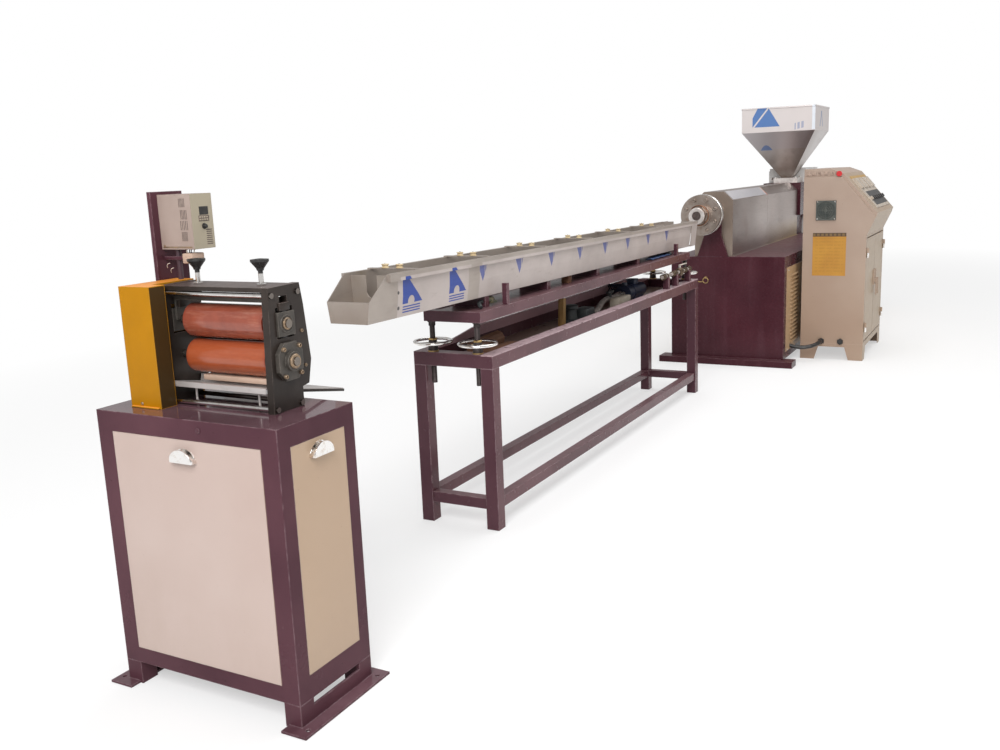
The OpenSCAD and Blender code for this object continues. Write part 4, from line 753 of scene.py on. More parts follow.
lever_white = mottled("lever_white", tint(214, 204, 192), tint(160, 148, 134), (60, 4, 0.4, 0.75),
    (70, 3, 0.2, 0.3), (300, 2, 0.1, 0.0004, 0.001))
fit(block((-2.575, feed_y - 0.006, feed_z + 0.033), (-2.455, feed_y + 0.006, feed_z + 0.038), 0.002),
    "valve_lever", lever_white)
clamp = hoop((0, feed_y, feed_z), (1, 0, 0), 0.0125, 0.0028, 24, 8, 2.4)
repeat(clamp, "pipe_clamp", [(x, 0, 0) for x in (-2.79, -2.645)], fitting)
foot_block = block((-0.012, feed_y - 0.016, rail_z), (0.012, feed_y + 0.016, feed_z - 0.006), 0.002)
repeat(foot_block, "pipe_saddle", [(x, 0, 0) for x in (-2.79, -2.645, -2.43)], rail)

# ---------------------------------------------------------------------------
# Lift: black jack screws carry the sub-frame. Each has a wheel, a chromed
# ring on three spokes from a black hub, with a brass nut and seat.
black_screw = mottled("black_screw", (0.035, 0.026, 0.026), (0.075, 0.06, 0.058), (40, 4, 0.35, 0.7),
    (60, 3, 0.25, 0.3), Metallic=0.6)
thread_pitch = 0.003
thread = (black_screw.axis(2) * (2 * math.pi / thread_pitch)).wave()
black_screw.relief(thread, 0.5, 0.0005)
dress(black_screw, "jack_screws")
shine = Finish("chrome_plate", (0.62, 0.61, 0.60), 0.12, Metallic=1.0)
shine.set(Base_Color=shine.mix(shine.cloud(45, 5, 0.7).fade(0.52, 0.78) * 0.75, (0.88, 0.86, 0.84),
    (0.52, 0.38, 0.24)), Roughness=shine.cloud(70, 3) * 0.16 + 0.05)
shine.relief(shine.cloud(300, 2), 0.05, 0.0003, 0.001)
ring_radius, ring_thick = 0.0685, 0.0058
for wheel in ("front_near", "front_far", "rear_near", "rear_far"):
    dress(shine, "handwheel_" + wheel)
    low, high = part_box("handwheel_" + wheel)
    middle = (low + high) / 2
    nut = turned((middle.x, middle.y, high.z - 0.001), (0, 0, 1), 0.0175,
        ((0.005, 0.0175), (0.0065, 0.0155), (0.0066, 0.0105), (0.002, 0.0104)), 6)
    fit(nut, "wheel_nut_" + wheel, old_brass, "wheel_" + wheel)
    rim_z = rail_z + 0.036
    ring = fit(hoop((middle.x, middle.y, rim_z), (0, 0, 1), ring_radius, ring_thick, 56, 14),
        "wheel_ring_" + wheel, shine, "wheel_" + wheel)
    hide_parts("handwheel_" + wheel)
    hub = turned((middle.x, middle.y, low.z), (0, 0, 1), 0.0185,
        ((0.010, 0.0185), (high.z - low.z - 0.002, 0.0150), (high.z - low.z, 0.0135)), 32)
    fit(hub, "wheel_hub_" + wheel, black_screw, "wheel_" + wheel)
    for number in range(3):
        out = math.radians(30 + 120 * number)
        spoke = bent([(middle.x + reach * math.cos(out), middle.y + reach * math.sin(out), rim_z - drop)
            for reach, drop in ((0.013, 0.004), (0.036, 0.003), (ring_radius - 0.0015, 0.0))], 0.0038)
        fit(spoke, "wheel_spoke_%s_%d" % (wheel, number), shine, "wheel_" + wheel)
    seat = turned((middle.x, middle.y, rail_z), (0, 0, 1), 0.021,
        ((0.0035, 0.021), (0.0042, 0.0195), (0.0043, 0.0115), (0.0001, 0.0113)), 28)
    fit(seat, "screw_seat_" + wheel, old_brass)
    washer = turned((middle.x, middle.y, lift_low.z), (0, 0, -1), 0.018,
        ((0.003, 0.018), (0.0031, 0.0145), (0.016, 0.0145), (0.018, 0.012)), 6)
    fit(washer, "lift_nut_" + wheel, black_screw, "trough_lift")

# ---------------------------------------------------------------------------
# Cooling trough: stainless sheet folded with turned-out rims. The outside
# keeps its white film with a plain blue pattern, in two lengths with bare
# steel at the mouth and between them.
gutter = stainless("trough_sheet", (0.46, 0.405, 0.36), (0.35, 0.30, 0.265), (1.0, 0.03, 0.03))
along, up = gutter.axis(0), gutter.axis(2)
mouth_x, mouth_z, floor_fall = -5.342, 0.855, 0.0082
level = up + along * floor_fall - (mouth_z + floor_fall * mouth_x)
outside = (gutter.facing(1) * gutter.axis(1)) > 0.04
on_wall = outside * (level < 0.130)
film = on_wall * (along > -5.185) * (1.0 - along.within(-4.741, -4.662)) * (along < -2.06)
film = film * gutter.cloud(6, 3, 0.6, (1, 1, 2)).fade(0.22, 0.26)
# Two sails with a round hole and bars under them at the mouth, then a row
# of small wedges, each with a few upright strokes.
sail = 0.0
for start in (-5.166, -4.880):
    print_u = along - start
    body = (print_u > 0.008) * ((print_u + level) < 0.164) * level.within(0.040, 0.1295)
    hole = ((print_u - 0.058) * (print_u - 0.058) + (level - 0.046) * (level - 0.046)) < 0.00034
    body = body * (1.0 - hole)
    bars = level.within(0.010, 0.034) * (((level + 0.001) % 0.0085) > 0.0042) * print_u.within(0.010, 0.112)
    sail = body + bars + sail
small_u = ((along + 4.779) % 0.2915) - 0.1455
small = (abs(small_u + 0.006) < (level - 0.060) * 0.58) * level.within(0.060, 0.117)
gaps = (small_u % 0.012).fade(0.0075, 0.0076) * (small_u > 0.0)
small = small * (1.0 - gaps) * (along > -4.70) * (along < -2.5)
blue_ink = ((sail + small * 0.8) * film).fade(0, 1)
film_tone = gutter.mix(gutter.cloud(5, 4, 0.6).fade(0.3, 0.7), tint(192, 181, 176), tint(172, 161, 156))
film_tone = gutter.mix(gutter.cloud(60, 4, 0.7, (0.2, 1, 1)).fade(0.60, 0.75) * 0.3, film_tone,
    tint(140, 126, 120))
film_tone = gutter.mix(blue_ink * 0.97, film_tone, tint(16, 58, 146))
# Bolt heads at the mouth show as dark dots through the film.
dots = (((along + 5.183) * (along + 5.183) + (level - 0.080) * (level - 0.080)) < 0.00003) + \
    (((along + 5.180) * (along + 5.180) + (level - 0.030) * (level - 0.030)) < 0.00004)
tone = gutter.mix(film, gutter.tone, film_tone)
inner = (1.0 - outside) * (gutter.facing(2) < 0.9)
# Darker low down on the inner faces.
low_inside_dark = inner * (1.0 - level.fade(0.0, 0.10)) * 0.5
tone = gutter.mix(low_inside_dark, tone, (0.24, 0.18, 0.14))
stain = (1.0 - (abs(along + 5.17)).fade(0.0, 0.05)) * gutter.cloud(14, 4).fade(0.4, 0.6) * inner * 0.7
tone = gutter.mix(stain, tone, (0.26, 0.19, 0.10))
gutter.set(Base_Color=gutter.mix((dots * outside).fade(0, 1) * 0.9, tone, (0.03, 0.025, 0.03)),
    Metallic=0.45 - film * 0.4)
bare = on_wall * (1.0 - film)
gutter.set(Roughness=(gutter.cloud(300, 2, 0.6, (0.03, 1, 1)) * 0.2 + 0.3) + bare * 0.1)
dress(gutter, "trough", "trough_baffles", "guide_bars")


def trough_z(x, height):
    """Height over the sloping floor of the trough at x."""
    return mouth_z - floor_fall * (x - mouth_x) + height


# The end of the trough under the nozzle: walls and floor of the same sheet,
# butted to the long channel.
end_from, end_to, end_z = -2.174, -2.075, trough_z(-2.12, 0)
for side_name, sign in (("near", -1), ("far", 1)):
    wall = block((end_from, -0.0013, 0.0), (end_to, 0.0013, 0.144), 0.0006, 1)
    wall_place = Matrix.Translation((0, sign * 0.0762, end_z))
    wall.matrix_world = wall_place @ Matrix.Rotation(sign * math.radians(-6.0), 4, "X")
    fit(wall, "end_wall_" + side_name, gutter, "trough_lift")
fit(block((end_from, -0.0700, end_z), (end_to, 0.0700, end_z + 0.0025), 0.0006, 1), "end_floor", gutter,
    "trough_lift")

# Guide rollers: short waisted spools of turned nylon in pairs, each on a
# steel pin through the cross bar.
nylon = mottled("turned_nylon", tint(224, 206, 168), tint(196, 172, 132), (50, 4, 0.35, 0.7),
    (80, 2, 0.2, 0.35))
nylon.relief(nylon.cloud(600, 1, stretch=(0.1, 0.1, 1)), 0.1, 0.0003, 0.001)
first_roller_x, roller_pitch, roller_y = -5.092, 0.480, 0.028
for number in range(6):
    x = first_roller_x + roller_pitch * number
    for name, y in (("near", -roller_y), ("far", roller_y)):
        seat_z = trough_z(x, 0.149)
        spool = turned((x, y, seat_z), (0, 0, 1), 0.0125,
            ((0.0022, 0.0128), (0.0045, 0.0100), (0.0085, 0.0100), (0.0108, 0.0128), (0.0130, 0.0120)), 32)
        fit(spool, "guide_spool_%s_%d" % (name, number), nylon, "trough_lift")
        fit(turned((x, y, seat_z), (0, 0, 1), 0.0032, ((0.0150, 0.0032), (0.0158, 0.0024)), 16),
            "guide_pin_%s_%d" % (name, number), bright, "trough_lift")
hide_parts("guide_rollers")

# Drain cocks: small brass valves gone green, with a lever and a short stub
# of hose.
verdigris = Finish("green_brass", roughness=0.45, Metallic=0.5)
verdigris.set(Base_Color=verdigris.mix(verdigris.cloud(70, 5, 0.7).fade(0.4, 0.65), (0.20, 0.15, 0.08),
    (0.09, 0.13, 0.10)), Roughness=verdigris.cloud(90, 3) * 0.3 + 0.3)
verdigris.relief(verdigris.cloud(250, 3), 0.3, 0.0006, 0.001)
dress(verdigris, "drain_cocks")
cock_low, cock_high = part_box("drain_cocks")
cock_y, cock_z = -0.052, 0.828
for name, x in (("mouth", cock_low.x + 0.020), ("die_end", cock_high.x - 0.020)):
    body = turned((x - 0.030, cock_y, cock_z), (1, 0, 0), 0.009,
        ((0.010, 0.0125), (0.030, 0.015), (0.050, 0.0125), (0.060, 0.009)), 16)
    fit(body, "cock_body_" + name, verdigris, "trough_lift")
    union = turned((x - 0.048, cock_y, cock_z), (1, 0, 0), 0.013, ((0.014, 0.013),), 6)
    fit(union, "cock_union_" + name, old_brass, "trough_lift")
    fit(bent([(x - back, cock_y - aside, cock_z - drop)
        for back, aside, drop in ((0.046, 0.0, 0.0), (0.075, 0.002, 0.001), (0.10, 0.018, 0.008),
        (0.105, 0.026, 0.014))], 0.0075), "cock_stub_" + name, slate, "trough_lift")

# Odds on the deck: a wood wedge under the trough, a fitting with its hose
# tails by the die end and a rag of blue film.
deck_z = lift_high.z
fit(block((-3.826, -0.050, deck_z - 0.004), (-3.792, -0.015, trough_z(-3.80, -0.0015)), 0.002),
    "trough_wedge", brown_wood, "trough_lift")
fit(block((-2.44, -0.068, deck_z), (-2.405, -0.040, trough_z(-2.42, -0.003)), 0.003), "outlet_box",
    black_screw, "trough_lift")
tail_x = -2.345
fit(turned((tail_x, -0.035, deck_z - 0.004), (0, 0, 1), 0.012,
    ((0.012, 0.012), (0.0121, 0.009), (0.022, 0.009), (0.0225, 0.006)), 6), "outlet_elbow", verdigris,
    "trough_lift")
blue_film = mottled("blue_film", tint(52, 84, 140), tint(110, 124, 150), (30, 4, 0.35, 0.7),
    (60, 3, 0.2, 0.25), (90, 3, 0.5, 0.002))
rag = block((-2.80, -0.074, deck_z - 0.002), (-2.52, -0.030, deck_z + 0.004), 0.002)
edit()
bpy.ops.mesh.subdivide(number_cuts=8, smoothness=0, fractal=0)
close()
for corner in rag.data.vertices:
    corner.co.z += 0.0035 * math.sin(corner.co.x * 70) * math.cos(corner.co.y * 160) + 0.0035
fit(rag, "film_scrap", blue_film, "trough_lift")

# ---------------------------------------------------------------------------
# Haul-off cabinet: plum frame with a glossy top, cream sheet doors and
# chromed cup pulls.
gloss = Finish("table_enamel", roughness=0.16, Coat_Roughness=0.04, Specular_IOR_Level=0.1)
tone = gloss.mix(gloss.cloud(4, 4).fade(0.3, 0.7), (0.060, 0.022, 0.031), (0.094, 0.038, 0.049))
top = gloss.facing(2).fade(0.6, 0.95)
tone = gloss.mix(top * gloss.cloud(7, 5, 0.6).fade(0.25, 0.7) * 0.5, tone, (0.22, 0.13, 0.15))
wear_and_highlight = gloss.edge(0.005) * gloss.cloud(30, 4, 0.6).fade(0.38, 0.6) * 0.6
chips = gloss.cloud(70, 2, 0.7).fade(0.70, 0.74) * 0.5
tone = gloss.mix(chips, tone, (0.03, 0.015, 0.015))
gloss.set(Base_Color=gloss.mix(wear_and_highlight, tone, (0.38, 0.27, 0.29)),
    Roughness=(gloss.cloud(22, 4) * 0.22 + 0.08) + (1.0 - gloss.axis(2).fade(0.05, 0.4)) * 0.15,
    Coat_Weight=top * 0.7)
gloss.relief(gloss.cloud(140, 2) + gloss.cloud(9, 2) * 1.4, 0.1, 0.0008, 0.003)
dress(gloss, "haul_cabinet", "haul_feet", "control_post")
dress(cream, "haul_panels")
dress(shine, "cup_pulls")
haul_low, haul_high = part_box("haul_cabinet")
fit(turned((haul_low.x - 0.001, -0.117, 0.722), (-1, 0, 0), 0.007, ((0.0008, 0.007), (0.0018, 0.0055)), 20),
    "table_plug", gloss)

# ---------------------------------------------------------------------------
# Roller head: two flame-cut plates blackened with oil, tied by chromed bars,
# with bearing blocks, cap screws and the sliding carriage.
iron = Finish("black_iron", roughness=0.4, Metallic=0.15, Specular_IOR_Level=0.3)
tone = iron.mix(iron.cloud(10, 5, 0.6).fade(0.3, 0.7), (0.020, 0.0145, 0.012), (0.040, 0.030, 0.025))
rubbing_and_highlight = iron.edge(0.0025) * iron.cloud(60, 4).fade(0.38, 0.6) * 0.6
# Top faces lighter: painted light.
tone = iron.mix(iron.facing(2).fade(0.7, 0.95) * 0.6, tone, (0.16, 0.115, 0.105))
iron.set(Base_Color=iron.mix(rubbing_and_highlight, tone, (0.2, 0.16, 0.14)), Roughness=iron.cloud(45, 4, 0.6) * 0.3 + 0.2)
iron.relief(iron.cloud(240, 3), 0.14, 0.0005, 0.0015)
dress(iron, "head_side_plates", "head_top_plate")
cast = Finish("cast_housing", roughness=0.5, Metallic=0.3)
tone = cast.mix(cast.cloud(30, 5, 0.65).fade(0.3, 0.7), (0.045, 0.040, 0.035), (0.095, 0.082, 0.070))
cast.set(Base_Color=cast.mix(cast.edge(0.0025) * 0.6, tone, (0.24, 0.21, 0.18)),
    Roughness=cast.cloud(60, 3) * 0.25 + 0.35)
cast.relief(cast.cloud(300, 3), 0.25, 0.0006, 0.0015)
dress(cast, "lower_bearings", "roller_carriage")
plate_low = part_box("head_side_plates")[0]
bar_steel = Finish("bar_chrome", roughness=0.16, Metallic=1.0)
tone = bar_steel.mix(bar_steel.cloud(45, 5, 0.7).fade(0.5, 0.78) * 0.6, (0.80, 0.78, 0.76),
    (0.40, 0.28, 0.18))
lower_bar = bar_steel.axis(0).within(-5.94, -5.80) * (bar_steel.axis(2) < 0.8)
outer = (bar_steel.axis(1) < plate_low.y) + lower_bar
bar_steel.set(Base_Color=bar_steel.mix(outer.fade(0, 1) * 0.9, tone, (0.13, 0.105, 0.09)),
    Roughness=bar_steel.cloud(70, 3) * 0.2 + 0.1)
bar_steel.relief(bar_steel.cloud(300, 2), 0.05, 0.0003)
dress(bar_steel, "tie_bars")
lower_low, lower_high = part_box("lower_bearings")
upper_low, upper_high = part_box("upper_roller")
nip_x = (lower_low.x + lower_high.x) / 2
low_z, up_z = (lower_low.z + lower_high.z) / 2, (upper_low.z + upper_high.z) / 2
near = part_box("tie_bars")[0].y + 0.005
face_y = lower_low.y + 0.010
rusty = Finish("brown_bushing", roughness=0.45, Metallic=0.7)
rusty.set(Base_Color=rusty.mix(rusty.cloud(90, 5, 0.7).fade(0.35, 0.7), (0.26, 0.20, 0.15),
    (0.42, 0.28, 0.16)), Roughness=rusty.cloud(70, 3) * 0.3 + 0.25)
rusty.relief(rusty.cloud(300, 2), 0.15, 0.0005, 0.001)
cap_screw = turned((0, 0, 0), (0, -1, 0), 0.0056, ((0.0055, 0.0056), (0.0065, 0.0048), (0.0066, 0.0030),
    (0.0030, 0.0028)), 20)
repeat(cap_screw, "bearing_screw", [(nip_x + x, face_y, low_z + z)
    for x, z in ((-0.028, 0.032), (0.029, 0.034), (-0.027, -0.034), (0.030, -0.033))], rusty)
plate_screw = turned((0, 0, 0), (0, -1, 0), 0.0042, ((0.0034, 0.0042), (0.0040, 0.0036), (0.0041, 0.0023),
    (0.0018, 0.0021)), 20)
repeat(plate_screw, "plate_screw", [(x, near, z) for x, z in ((-5.874, 0.932), (-5.869, 0.845))], rusty)
fit(turned((nip_x, lower_low.y + 0.003, low_z), (0, -1, 0), 0.0185,
    ((0.006, 0.0185), (0.008, 0.0165), (0.0081, 0.0115), (0.003, 0.011)), 28), "lower_shaft_cap", rusty,
    "lower_roller")
slide_low, slide_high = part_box("roller_carriage")
fit(hoop((nip_x, slide_low.y + 0.0005, up_z), (0, 1, 0), 0.0205, 0.0028, 40, 8), "upper_shaft_ring", cast,
    "roller_carriage")
fit(turned((nip_x, slide_low.y + 0.002, up_z), (0, -1, 0), 0.0150,
    ((0.005, 0.0150), (0.0065, 0.0135), (0.0066, 0.006), (0.004, 0.0055)), 28), "upper_shaft_cap", rusty,
    "upper_roller")

# Rollers: turned cores with a ground orange rubber face, dark at the ends.
rubber = Finish("orange_rubber", roughness=0.25, Specular_IOR_Level=0.7)
tone = rubber.mix(rubber.cloud(16, 4, 0.6).fade(0.3, 0.7), (0.20, 0.048, 0.030), (0.285, 0.070, 0.040))
tone = rubber.mix(rubber.cloud(60, 5, 0.7, (1, 0.15, 1)).fade(0.5, 0.75) * 0.5, tone, (0.40, 0.19, 0.13))
tone = rubber.mix(rubber.axis(2).fade(0.925, 0.90) * 0.7, tone, (0.36, 0.075, 0.020))
rollers_y, face_half = -0.0975, 0.1285
from_middle = abs(rubber.axis(1) - rollers_y)
ends = abs(rubber.facing(1)).fade(0.85, 0.95) + from_middle.fade(0.118, 0.128) * 0.5
shaft = from_middle > face_half + 0.0002
tone = rubber.mix((ends * 0.8).fade(0, 1), tone, (0.20, 0.03, 0.015))
rubber.set(Base_Color=rubber.mix(shaft, tone, (0.22, 0.19, 0.165)), Metallic=shaft * 0.9,
    Roughness=rubber.cloud(50, 4) * 0.16 + 0.08)
rubber.relief(rubber.cloud(420, 2, stretch=(1, 0.2, 1)), 0.05, 0.0003, 0.001)
dress(rubber, "lower_roller", "upper_roller")
for name, height in (("lower_roller", low_z), ("upper_roller", up_z)):
    for end, way in (("near", -1), ("far", 1)):
        rim = turned((nip_x, rollers_y + way * face_half, height), (0, way, 0), 0.0385,
            ((0.0012, 0.0385), (0.0020, 0.037), (0.0021, 0.022), (0.0030, 0.0205)), 40)
        fit(rim, "%s_end_%s" % (name, end), cast, name)

# A dark flat bar between the plates behind the nip, painted shade in the gap between the rollers, the caps
# that close the windows over the carriage, and the nuts under the pressure screws.
fit(block((-5.876, plate_low.y + 0.019, 0.897), (-5.870, 0.080, 0.930), 0.001), "nip_shade_bar", iron)
for name, way, nut_y in (("near", -1, -0.199), ("far", 1, 0.008)):
    cap_y = rollers_y + way * 0.1635
    fit(block((nip_x - 0.019, cap_y - 0.004, 0.9890), (nip_x + 0.019, cap_y + 0.004, slide_high.z - 0.0102),
        0.0015), "carriage_cap_" + name, iron, "roller_carriage")
    fit(turned((nip_x, nut_y, slide_high.z + 0.0002), (0, 0, 1), 0.0165, ((0.006, 0.0165), (0.008, 0.0145)),
        6), "carriage_nut_" + name, iron, "roller_carriage")

# Guide tray with a dark hem at its tail, and the pale board under the lower
# roller.
tray_finish = stainless("tray_sheet", (0.60, 0.56, 0.54), (0.46, 0.42, 0.40), (0.03, 1.0, 0.03))
tray_finish.set(Metallic=0.45)
dress(tray_finish, "guide_tray")
board = Finish("pale_board", roughness=0.55)
board.set(Base_Color=board.mix(board.cloud(20, 4, 0.6, (1, 0.2, 1)).fade(0.3, 0.7), tint(196, 170, 152),
    tint(164, 138, 120)), Roughness=board.cloud(60, 3) * 0.2 + 0.45)
board.relief(board.cloud(220, 2), 0.15, 0.0005, 0.001)
tray_low, tray_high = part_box("guide_tray")
fit(block((nip_x - 0.022, tray_low.y + 0.004, tray_high.z - 0.0005),
    (nip_x + 0.030, tray_high.y - 0.074, low_z - 0.0455), 0.002), "guide_board", board)
tray_slope, tray_rise = math.radians(11.5), 0.062
hem = block((0.130, -0.003, -0.0095), (0.2995, 0.001, -0.0025), 0.0008)
hem.matrix_world = (Matrix.Translation((tray_low.x + 0.0045, tray_low.y, haul_high.z + tray_rise))
    @ Matrix.Rotation(tray_slope, 4, "Y"))
fit(hem, "tray_hem", iron)

# Pressure screws: chromed stems under tapered black knobs.
knob_black = Finish("black_knob", (0.012, 0.012, 0.013), 0.35)
stem = (1.0 - knob_black.axis(2).fade(1.0765, 1.0775)) * (knob_black.axis(2) > 1.047)
knob_black.set(Base_Color=knob_black.mix(stem, knob_black.mix(knob_black.cloud(60, 4).fade(0.35, 0.7),
    (0.011, 0.010, 0.010), (0.028, 0.026, 0.025)), (0.62, 0.60, 0.58)), Metallic=stem,
    Roughness=(knob_black.cloud(90, 3) * 0.2 + 0.3) - stem * 0.25)
knob_black.relief(knob_black.cloud(300, 2), 0.1, 0.0004, 0.0012)
dress(knob_black, "pressure_knob_near", "pressure_knob_far")
for name in ("near", "far"):
    low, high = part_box("pressure_knob_" + name)
    cx, cy = (low.x + high.x) / 2, (low.y + high.y) / 2
    collar = turned((cx, cy, 1.0485), (0, 0, 1), 0.0125,
        ((0.004, 0.0125), (0.005, 0.0115), (0.0051, 0.0075)), 6)
    fit(collar, "lock_nut_" + name, shine, "knob_" + name)
    dish = turned((cx, cy, high.z - 0.0002), (0, 0, 1), 0.0135,
        ((0.0008, 0.0135), (0.0016, 0.0105), (0.0017, 0.006), (0.0006, 0.005)), 28)
    fit(dish, "knob_cap_" + name, knob_black, "knob_" + name)

# Gear guard: an amber enamelled box with a foot flange and a fixing screw.
amber = Finish("amber_enamel", roughness=0.35, Specular_IOR_Level=0.15)
tone = amber.mix(amber.cloud(8, 3).fade(0.3, 0.7), (0.355, 0.150, 0.0), (0.42, 0.18, 0.0))
# Top faces brighter orange: painted light.
tone = amber.mix(amber.facing(2).fade(0.6, 0.95) * 0.85, tone, (0.95, 0.36, 0.06))
guard_low, guard_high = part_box("gear_guard")
# The inner faces seen through the open near side dark: black paint in part, painted shade in part.
open_to_x = -5.9976
inner = (0.0 - amber.facing(1)).fade(0.8, 0.9) * (amber.axis(1) < guard_low.y + 0.001) * \
    amber.axis(0).within(guard_low.x + 0.0016, open_to_x) * \
    amber.axis(2).within(guard_low.z + 0.001, guard_high.z - 0.002)
tone = amber.mix(amber.cloud(50, 4, 0.7).fade(0.66, 0.72) * 0.35, tone, (0.30, 0.13, 0.01))
tone = amber.mix(amber.edge(0.003) * 0.5, tone, (0.55, 0.33, 0.08))
amber.set(Base_Color=amber.mix(inner * 0.96, tone, (0.040, 0.024, 0.010)),
    Roughness=amber.cloud(40, 3) * 0.2 + 0.25)
amber.relief(amber.cloud(130, 2), 0.1, 0.0006, 0.002)
dress(amber, "gear_guard")
fit(block((guard_low.x - 0.006, 0.064, guard_low.z),
    (guard_low.x + 0.010, guard_high.y - 0.004, guard_low.z + 0.004), 0.0015), "guard_foot", amber)
fit(turned((guard_low.x, 0.125, guard_low.z + 0.010), (-1, 0, 0), 0.0045,
    ((0.0008, 0.0045), (0.002, 0.003), (0.0021, 0.0014)), 16), "guard_screw", rusty)

# ---------------------------------------------------------------------------
# Speed inverter on its post: a moulded grey-beige case with vent slits, a
# display, keys and a knob, and under it a small junction box with its wires.
case = Finish("grey_moulding", roughness=0.45)
tone = case.mix(case.cloud(12, 3).fade(0.3, 0.7), tint(160, 143, 134), tint(150, 133, 124))
# Faces turned to -Y lighter and yellower: painted warm light.
tone = case.mix((0.0 - case.facing(1)).fade(0.5, 0.9), tone, tint(162, 152, 132))
tone = case.mix(case.axis(2) < 1.1285, tone, tint(64, 44, 52))
case.set(Base_Color=case.mix(case.edge(0.002) * 0.4, tone, tint(120, 104, 94)),
    Roughness=case.cloud(60, 3) * 0.15 + 0.4)
case.relief(case.cloud(700, 2), 0.12, 0.0004, 0.0015)
dress(case, "speed_inverter")
ink = mottled("black_moulding", (0.014, 0.013, 0.013), (0.04, 0.037, 0.035), (30, 4, 0.35, 0.7),
    (60, 3, 0.2, 0.28), (500, 2, 0.12, 0.0004, 0.0015))
slit_dark = mottled("vent_shadow", tint(104, 90, 82), tint(84, 72, 66), (90, 3, 0.4, 0.7),
    (60, 3, 0.2, 0.5))
box_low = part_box("speed_inverter")[0]
front_y = box_low.y
fit(block((-5.863, front_y - 0.0006, 1.2160), (-5.832, front_y + 0.001, 1.2370), 0.0004, 1),
    "inverter_display", ink)
bezel = block((-5.867, front_y - 0.0008, 1.1995), (-5.831, front_y + 0.001, 1.2145), 0.0006, 1)
fit(bezel, "inverter_keypad", slit_dark)
repeat(block((0, front_y - 0.0018, 0), (0.0062, front_y, 0.0042), 0.0008), "inverter_key",
    [(x, 0, z) for z in (1.2017, 1.2080) for x in (-5.8655, -5.8575, -5.8495, -5.8415)], case)
fit(turned((-5.850, front_y, 1.187), (0, -1, 0), 0.0078,
    ((0.001, 0.0078), (0.0011, 0.0062), (0.0075, 0.0052), (0.0085, 0.0042)), 24), "inverter_knob", ink)
fit(row(block((-5.8445, front_y - 0.0005, 1.1400), (-5.8245, front_y + 0.001, 1.1425), 0.0004, 1), 8,
    (0, 0, 0.0052)), "inverter_slots", slit_dark)
for number, (y0, y1, z0, z1) in enumerate(((0.072, 0.092, 1.237, 1.259), (0.067, 0.089, 1.206, 1.230),
                                           (0.067, 0.092, 1.179, 1.203), (0.071, 0.090, 1.151, 1.175))):
    slit = block((box_low.x - 0.0005, y0, z0), (box_low.x + 0.001, y0 + 0.0024, z1), 0.0004, 1)
    fit(row(slit, 5, (0, (y1 - y0 - 0.0024) / 4, 0)), "case_vents_%d" % number, slit_dark)
fit(block((box_low.x - 0.0004, 0.058, 1.1335), (box_low.x + 0.001, 0.160, 1.1375), 0.0003, 1), "case_strip",
    rusty)
fit(turned((box_low.x, 0.155, 1.139), (-1, 0, 0), 0.0032, ((0.0012, 0.0032), (0.0018, 0.002)), 14),
    "case_screw", rusty)
fit(block((-5.893, 0.060, 1.094), (-5.850, 0.096, 1.120), 0.003), "junction_box", board)
fit(block((-5.886, 0.094, 1.102), (-5.866, 0.168, 1.112), 0.002), "junction_arm", gloss)
for number, (y, reach, finish) in enumerate(((0.068, 0.010, lever_white), (0.076, 0.016, ink),
        (0.084, 0.012, ink), (0.091, 0.018, lever_white))):
    fit(bent(((-5.872, y, 1.119), (-5.876 - reach * 0.4, y - 0.003, 1.124), (-5.868, y + 0.002, 1.1315)),
        0.0014), "case_wire_%d" % number, finish)
for number, (y, z) in enumerate(((0.152, 1.082), (0.140, 1.070))):
    fit(bent(((-5.893, y, z), (-5.896, y - 0.004, z + 0.010), (-5.892, y - 0.010, z + 0.013)), 0.0008),
        "post_wire_%d" % number, lever_white)

# ---------------------------------------------------------------------------
# Control cabinet: folded sheet in beige hammer enamel, with a sloped
# console, louvred fan outlet, doors on chromed hinges and a notice plate.
beige = Finish("beige_enamel", roughness=0.4, Specular_IOR_Level=0.4)
tone = beige.mix(beige.cloud(2.5, 3).fade(0.3, 0.7), (0.39, 0.285, 0.225), (0.46, 0.355, 0.285))
# Darker towards the bottom: painted shade.
tone = beige.mix(beige.axis(2).fade(0.9, 0.2) * 0.45, tone, (0.36, 0.235, 0.15))
tone = beige.mix(beige.cloud(90, 2, 0.6).fade(0.72, 0.76) * 0.35, tone, (0.2, 0.14, 0.10))
# Faces turned to -Y toned warmer: painted warm light.
tone = beige.mix((0.0 - beige.facing(1)).fade(0.5, 0.9) * 0.8, tone, (0.41, 0.31, 0.20))
beige.set(Base_Color=beige.mix(beige.edge(0.004) * 0.35, tone, (0.55, 0.46, 0.37)),
    Roughness=beige.cloud(25, 3) * 0.15 + 0.32)
beige.relief(beige.cloud(500, 2) + beige.cloud(4, 1) * 3.0, 0.12, 0.0005, 0.002)
dress(beige, "control_cabinet", "cabinet_skirt", "cabinet_door_near", "cabinet_door_far")
dress(shine, "door_hinges")
dress(ink, "cable_glands", "cabinet_hose")
wall_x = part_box("control_cabinet")[0].x
outlet = mottled("grey_grille", tint(64, 70, 66), tint(86, 88, 82), (30, 4, 0.35, 0.7), (60, 3, 0.2, 0.4),
    (400, 2, 0.12, 0.0004, 0.001))
dress(outlet, "fan_grille")

# Instrument plate on the slope: a pale anodised sheet, with black meters
# and switches set in it, a brass strip at its top and the red stop button.
console = Finish("console_plate", roughness=0.4, Specular_IOR_Level=0.4)
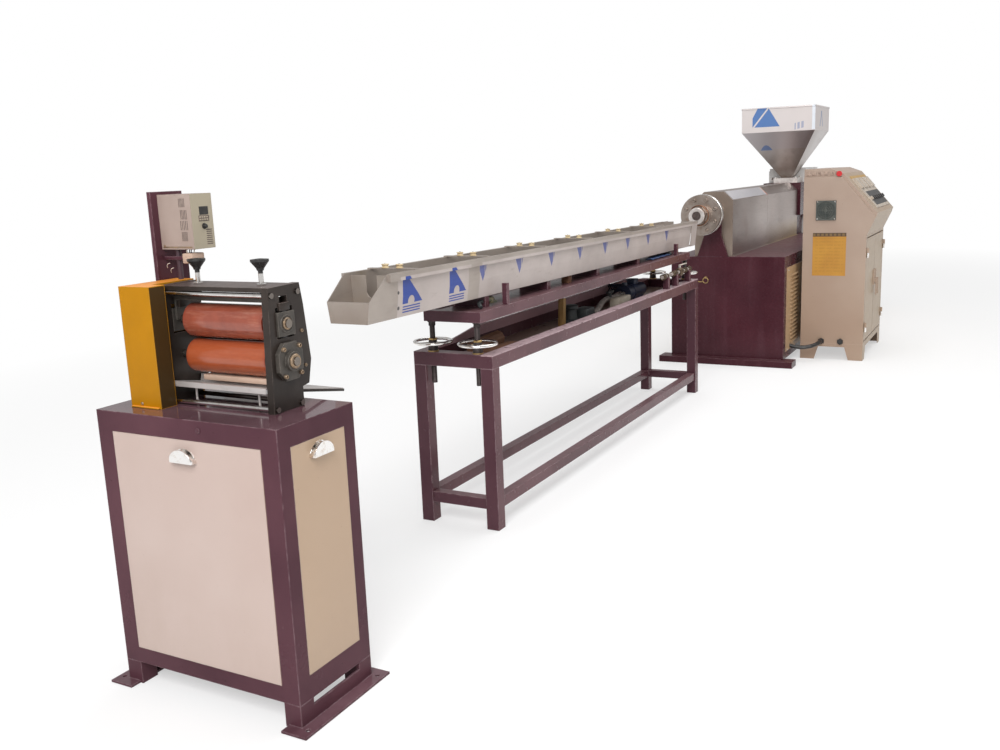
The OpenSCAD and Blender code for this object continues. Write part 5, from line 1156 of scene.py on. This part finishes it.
# Down the slope: a brass strip, pale plate, then a dark band of instruments.
slope_y, slope_z, slope_length = -0.746, 1.205, 0.3327
rise = math.atan2(0.253, 0.216)
above = (console.axis(2) - slope_z) * math.cos(rise) - (console.axis(1) - slope_y) * math.sin(rise)
tone = console.mix(console.cloud(12, 4).fade(0.3, 0.7), tint(196, 184, 170), tint(176, 162, 146))
down = ((console.axis(1) - slope_y) * (-math.cos(rise)) - (console.axis(2) - slope_z)
    * math.sin(rise)) / slope_length
tone = console.mix(down.within(0.50, 0.84) * (console.axis(0) > -0.93), tone, tint(58, 55, 54))
tone = console.mix((down < 0.16) * (above < 0.0048), tone, tint(188, 150, 84))
console.set(Base_Color=console.mix(console.axis(0) < wall_x + 0.0002, tone, tint(204, 46, 50)),
    Roughness=console.cloud(60, 3) * 0.2 + 0.3)
console.relief(console.cloud(400, 2), 0.08, 0.0004, 0.001)
dress(console, "console_panel")
fan_low, fan_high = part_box("fan_grille")
for number, (y, z) in enumerate([(y, z) for y in (fan_low.y + 0.008, fan_high.y - 0.008)
                                 for z in (fan_low.z + 0.008, fan_high.z - 0.008)]):
    fit(turned((fan_low.x, y, z), (-1, 0, 0), 0.0045, ((0.0008, 0.0045), (0.0022, 0.003), (0.0023, 0.0012)),
        14), "fan_screw_%d" % number, bright)
notice = Finish("yellow_plate", roughness=0.4)
# Rows of faint strokes on the plate, under a dark heading.
line_up = notice.axis(2)
lines = ((line_up % 0.021) > 0.0125) * (notice.axis(1) % 0.047 > 0.006)
lines = lines * notice.cloud(70, 3).fade(0.35, 0.5)
lines = lines * line_up.within(0.575, 0.795) * notice.axis(1).within(-0.762, -0.588)
tone = notice.mix(notice.cloud(9, 3).fade(0.3, 0.7), tint(196, 142, 52), tint(180, 126, 46))
tone = notice.mix(lines * 0.16, tone, tint(110, 80, 30))
tone = notice.mix(line_up > 0.806, tone, tint(86, 66, 48))
heading = ((notice.axis(1) % 0.026) > 0.011) * line_up.within(0.811, 0.825)
notice.set(Base_Color=notice.mix(heading * 0.5, tone, tint(150, 120, 70)),
    Roughness=notice.cloud(60, 3) * 0.2 + 0.3)
notice.relief(notice.cloud(260, 2), 0.05, 0.0003)
fit(block((wall_x - 0.0012, -0.779, 0.553), (wall_x + 0.0005, -0.571, 0.830), 0.0006, 1), "notice_plate",
    notice)

# Lid strip: small meters in a row.
strip_tone = mottled("strip_grey", tint(176, 152, 136), tint(128, 108, 96), (80, 4, 0.4, 0.65),
    (60, 3, 0.2, 0.4))
lid_x = wall_x + 0.010
for number in range(6):
    y = -0.520 - 0.036 * number
    fit(block((lid_x - 0.0025, y - 0.028, 1.1935), (lid_x + 0.001, y, 1.2185), 0.001),
        "lid_meter_%d" % number, strip_tone)
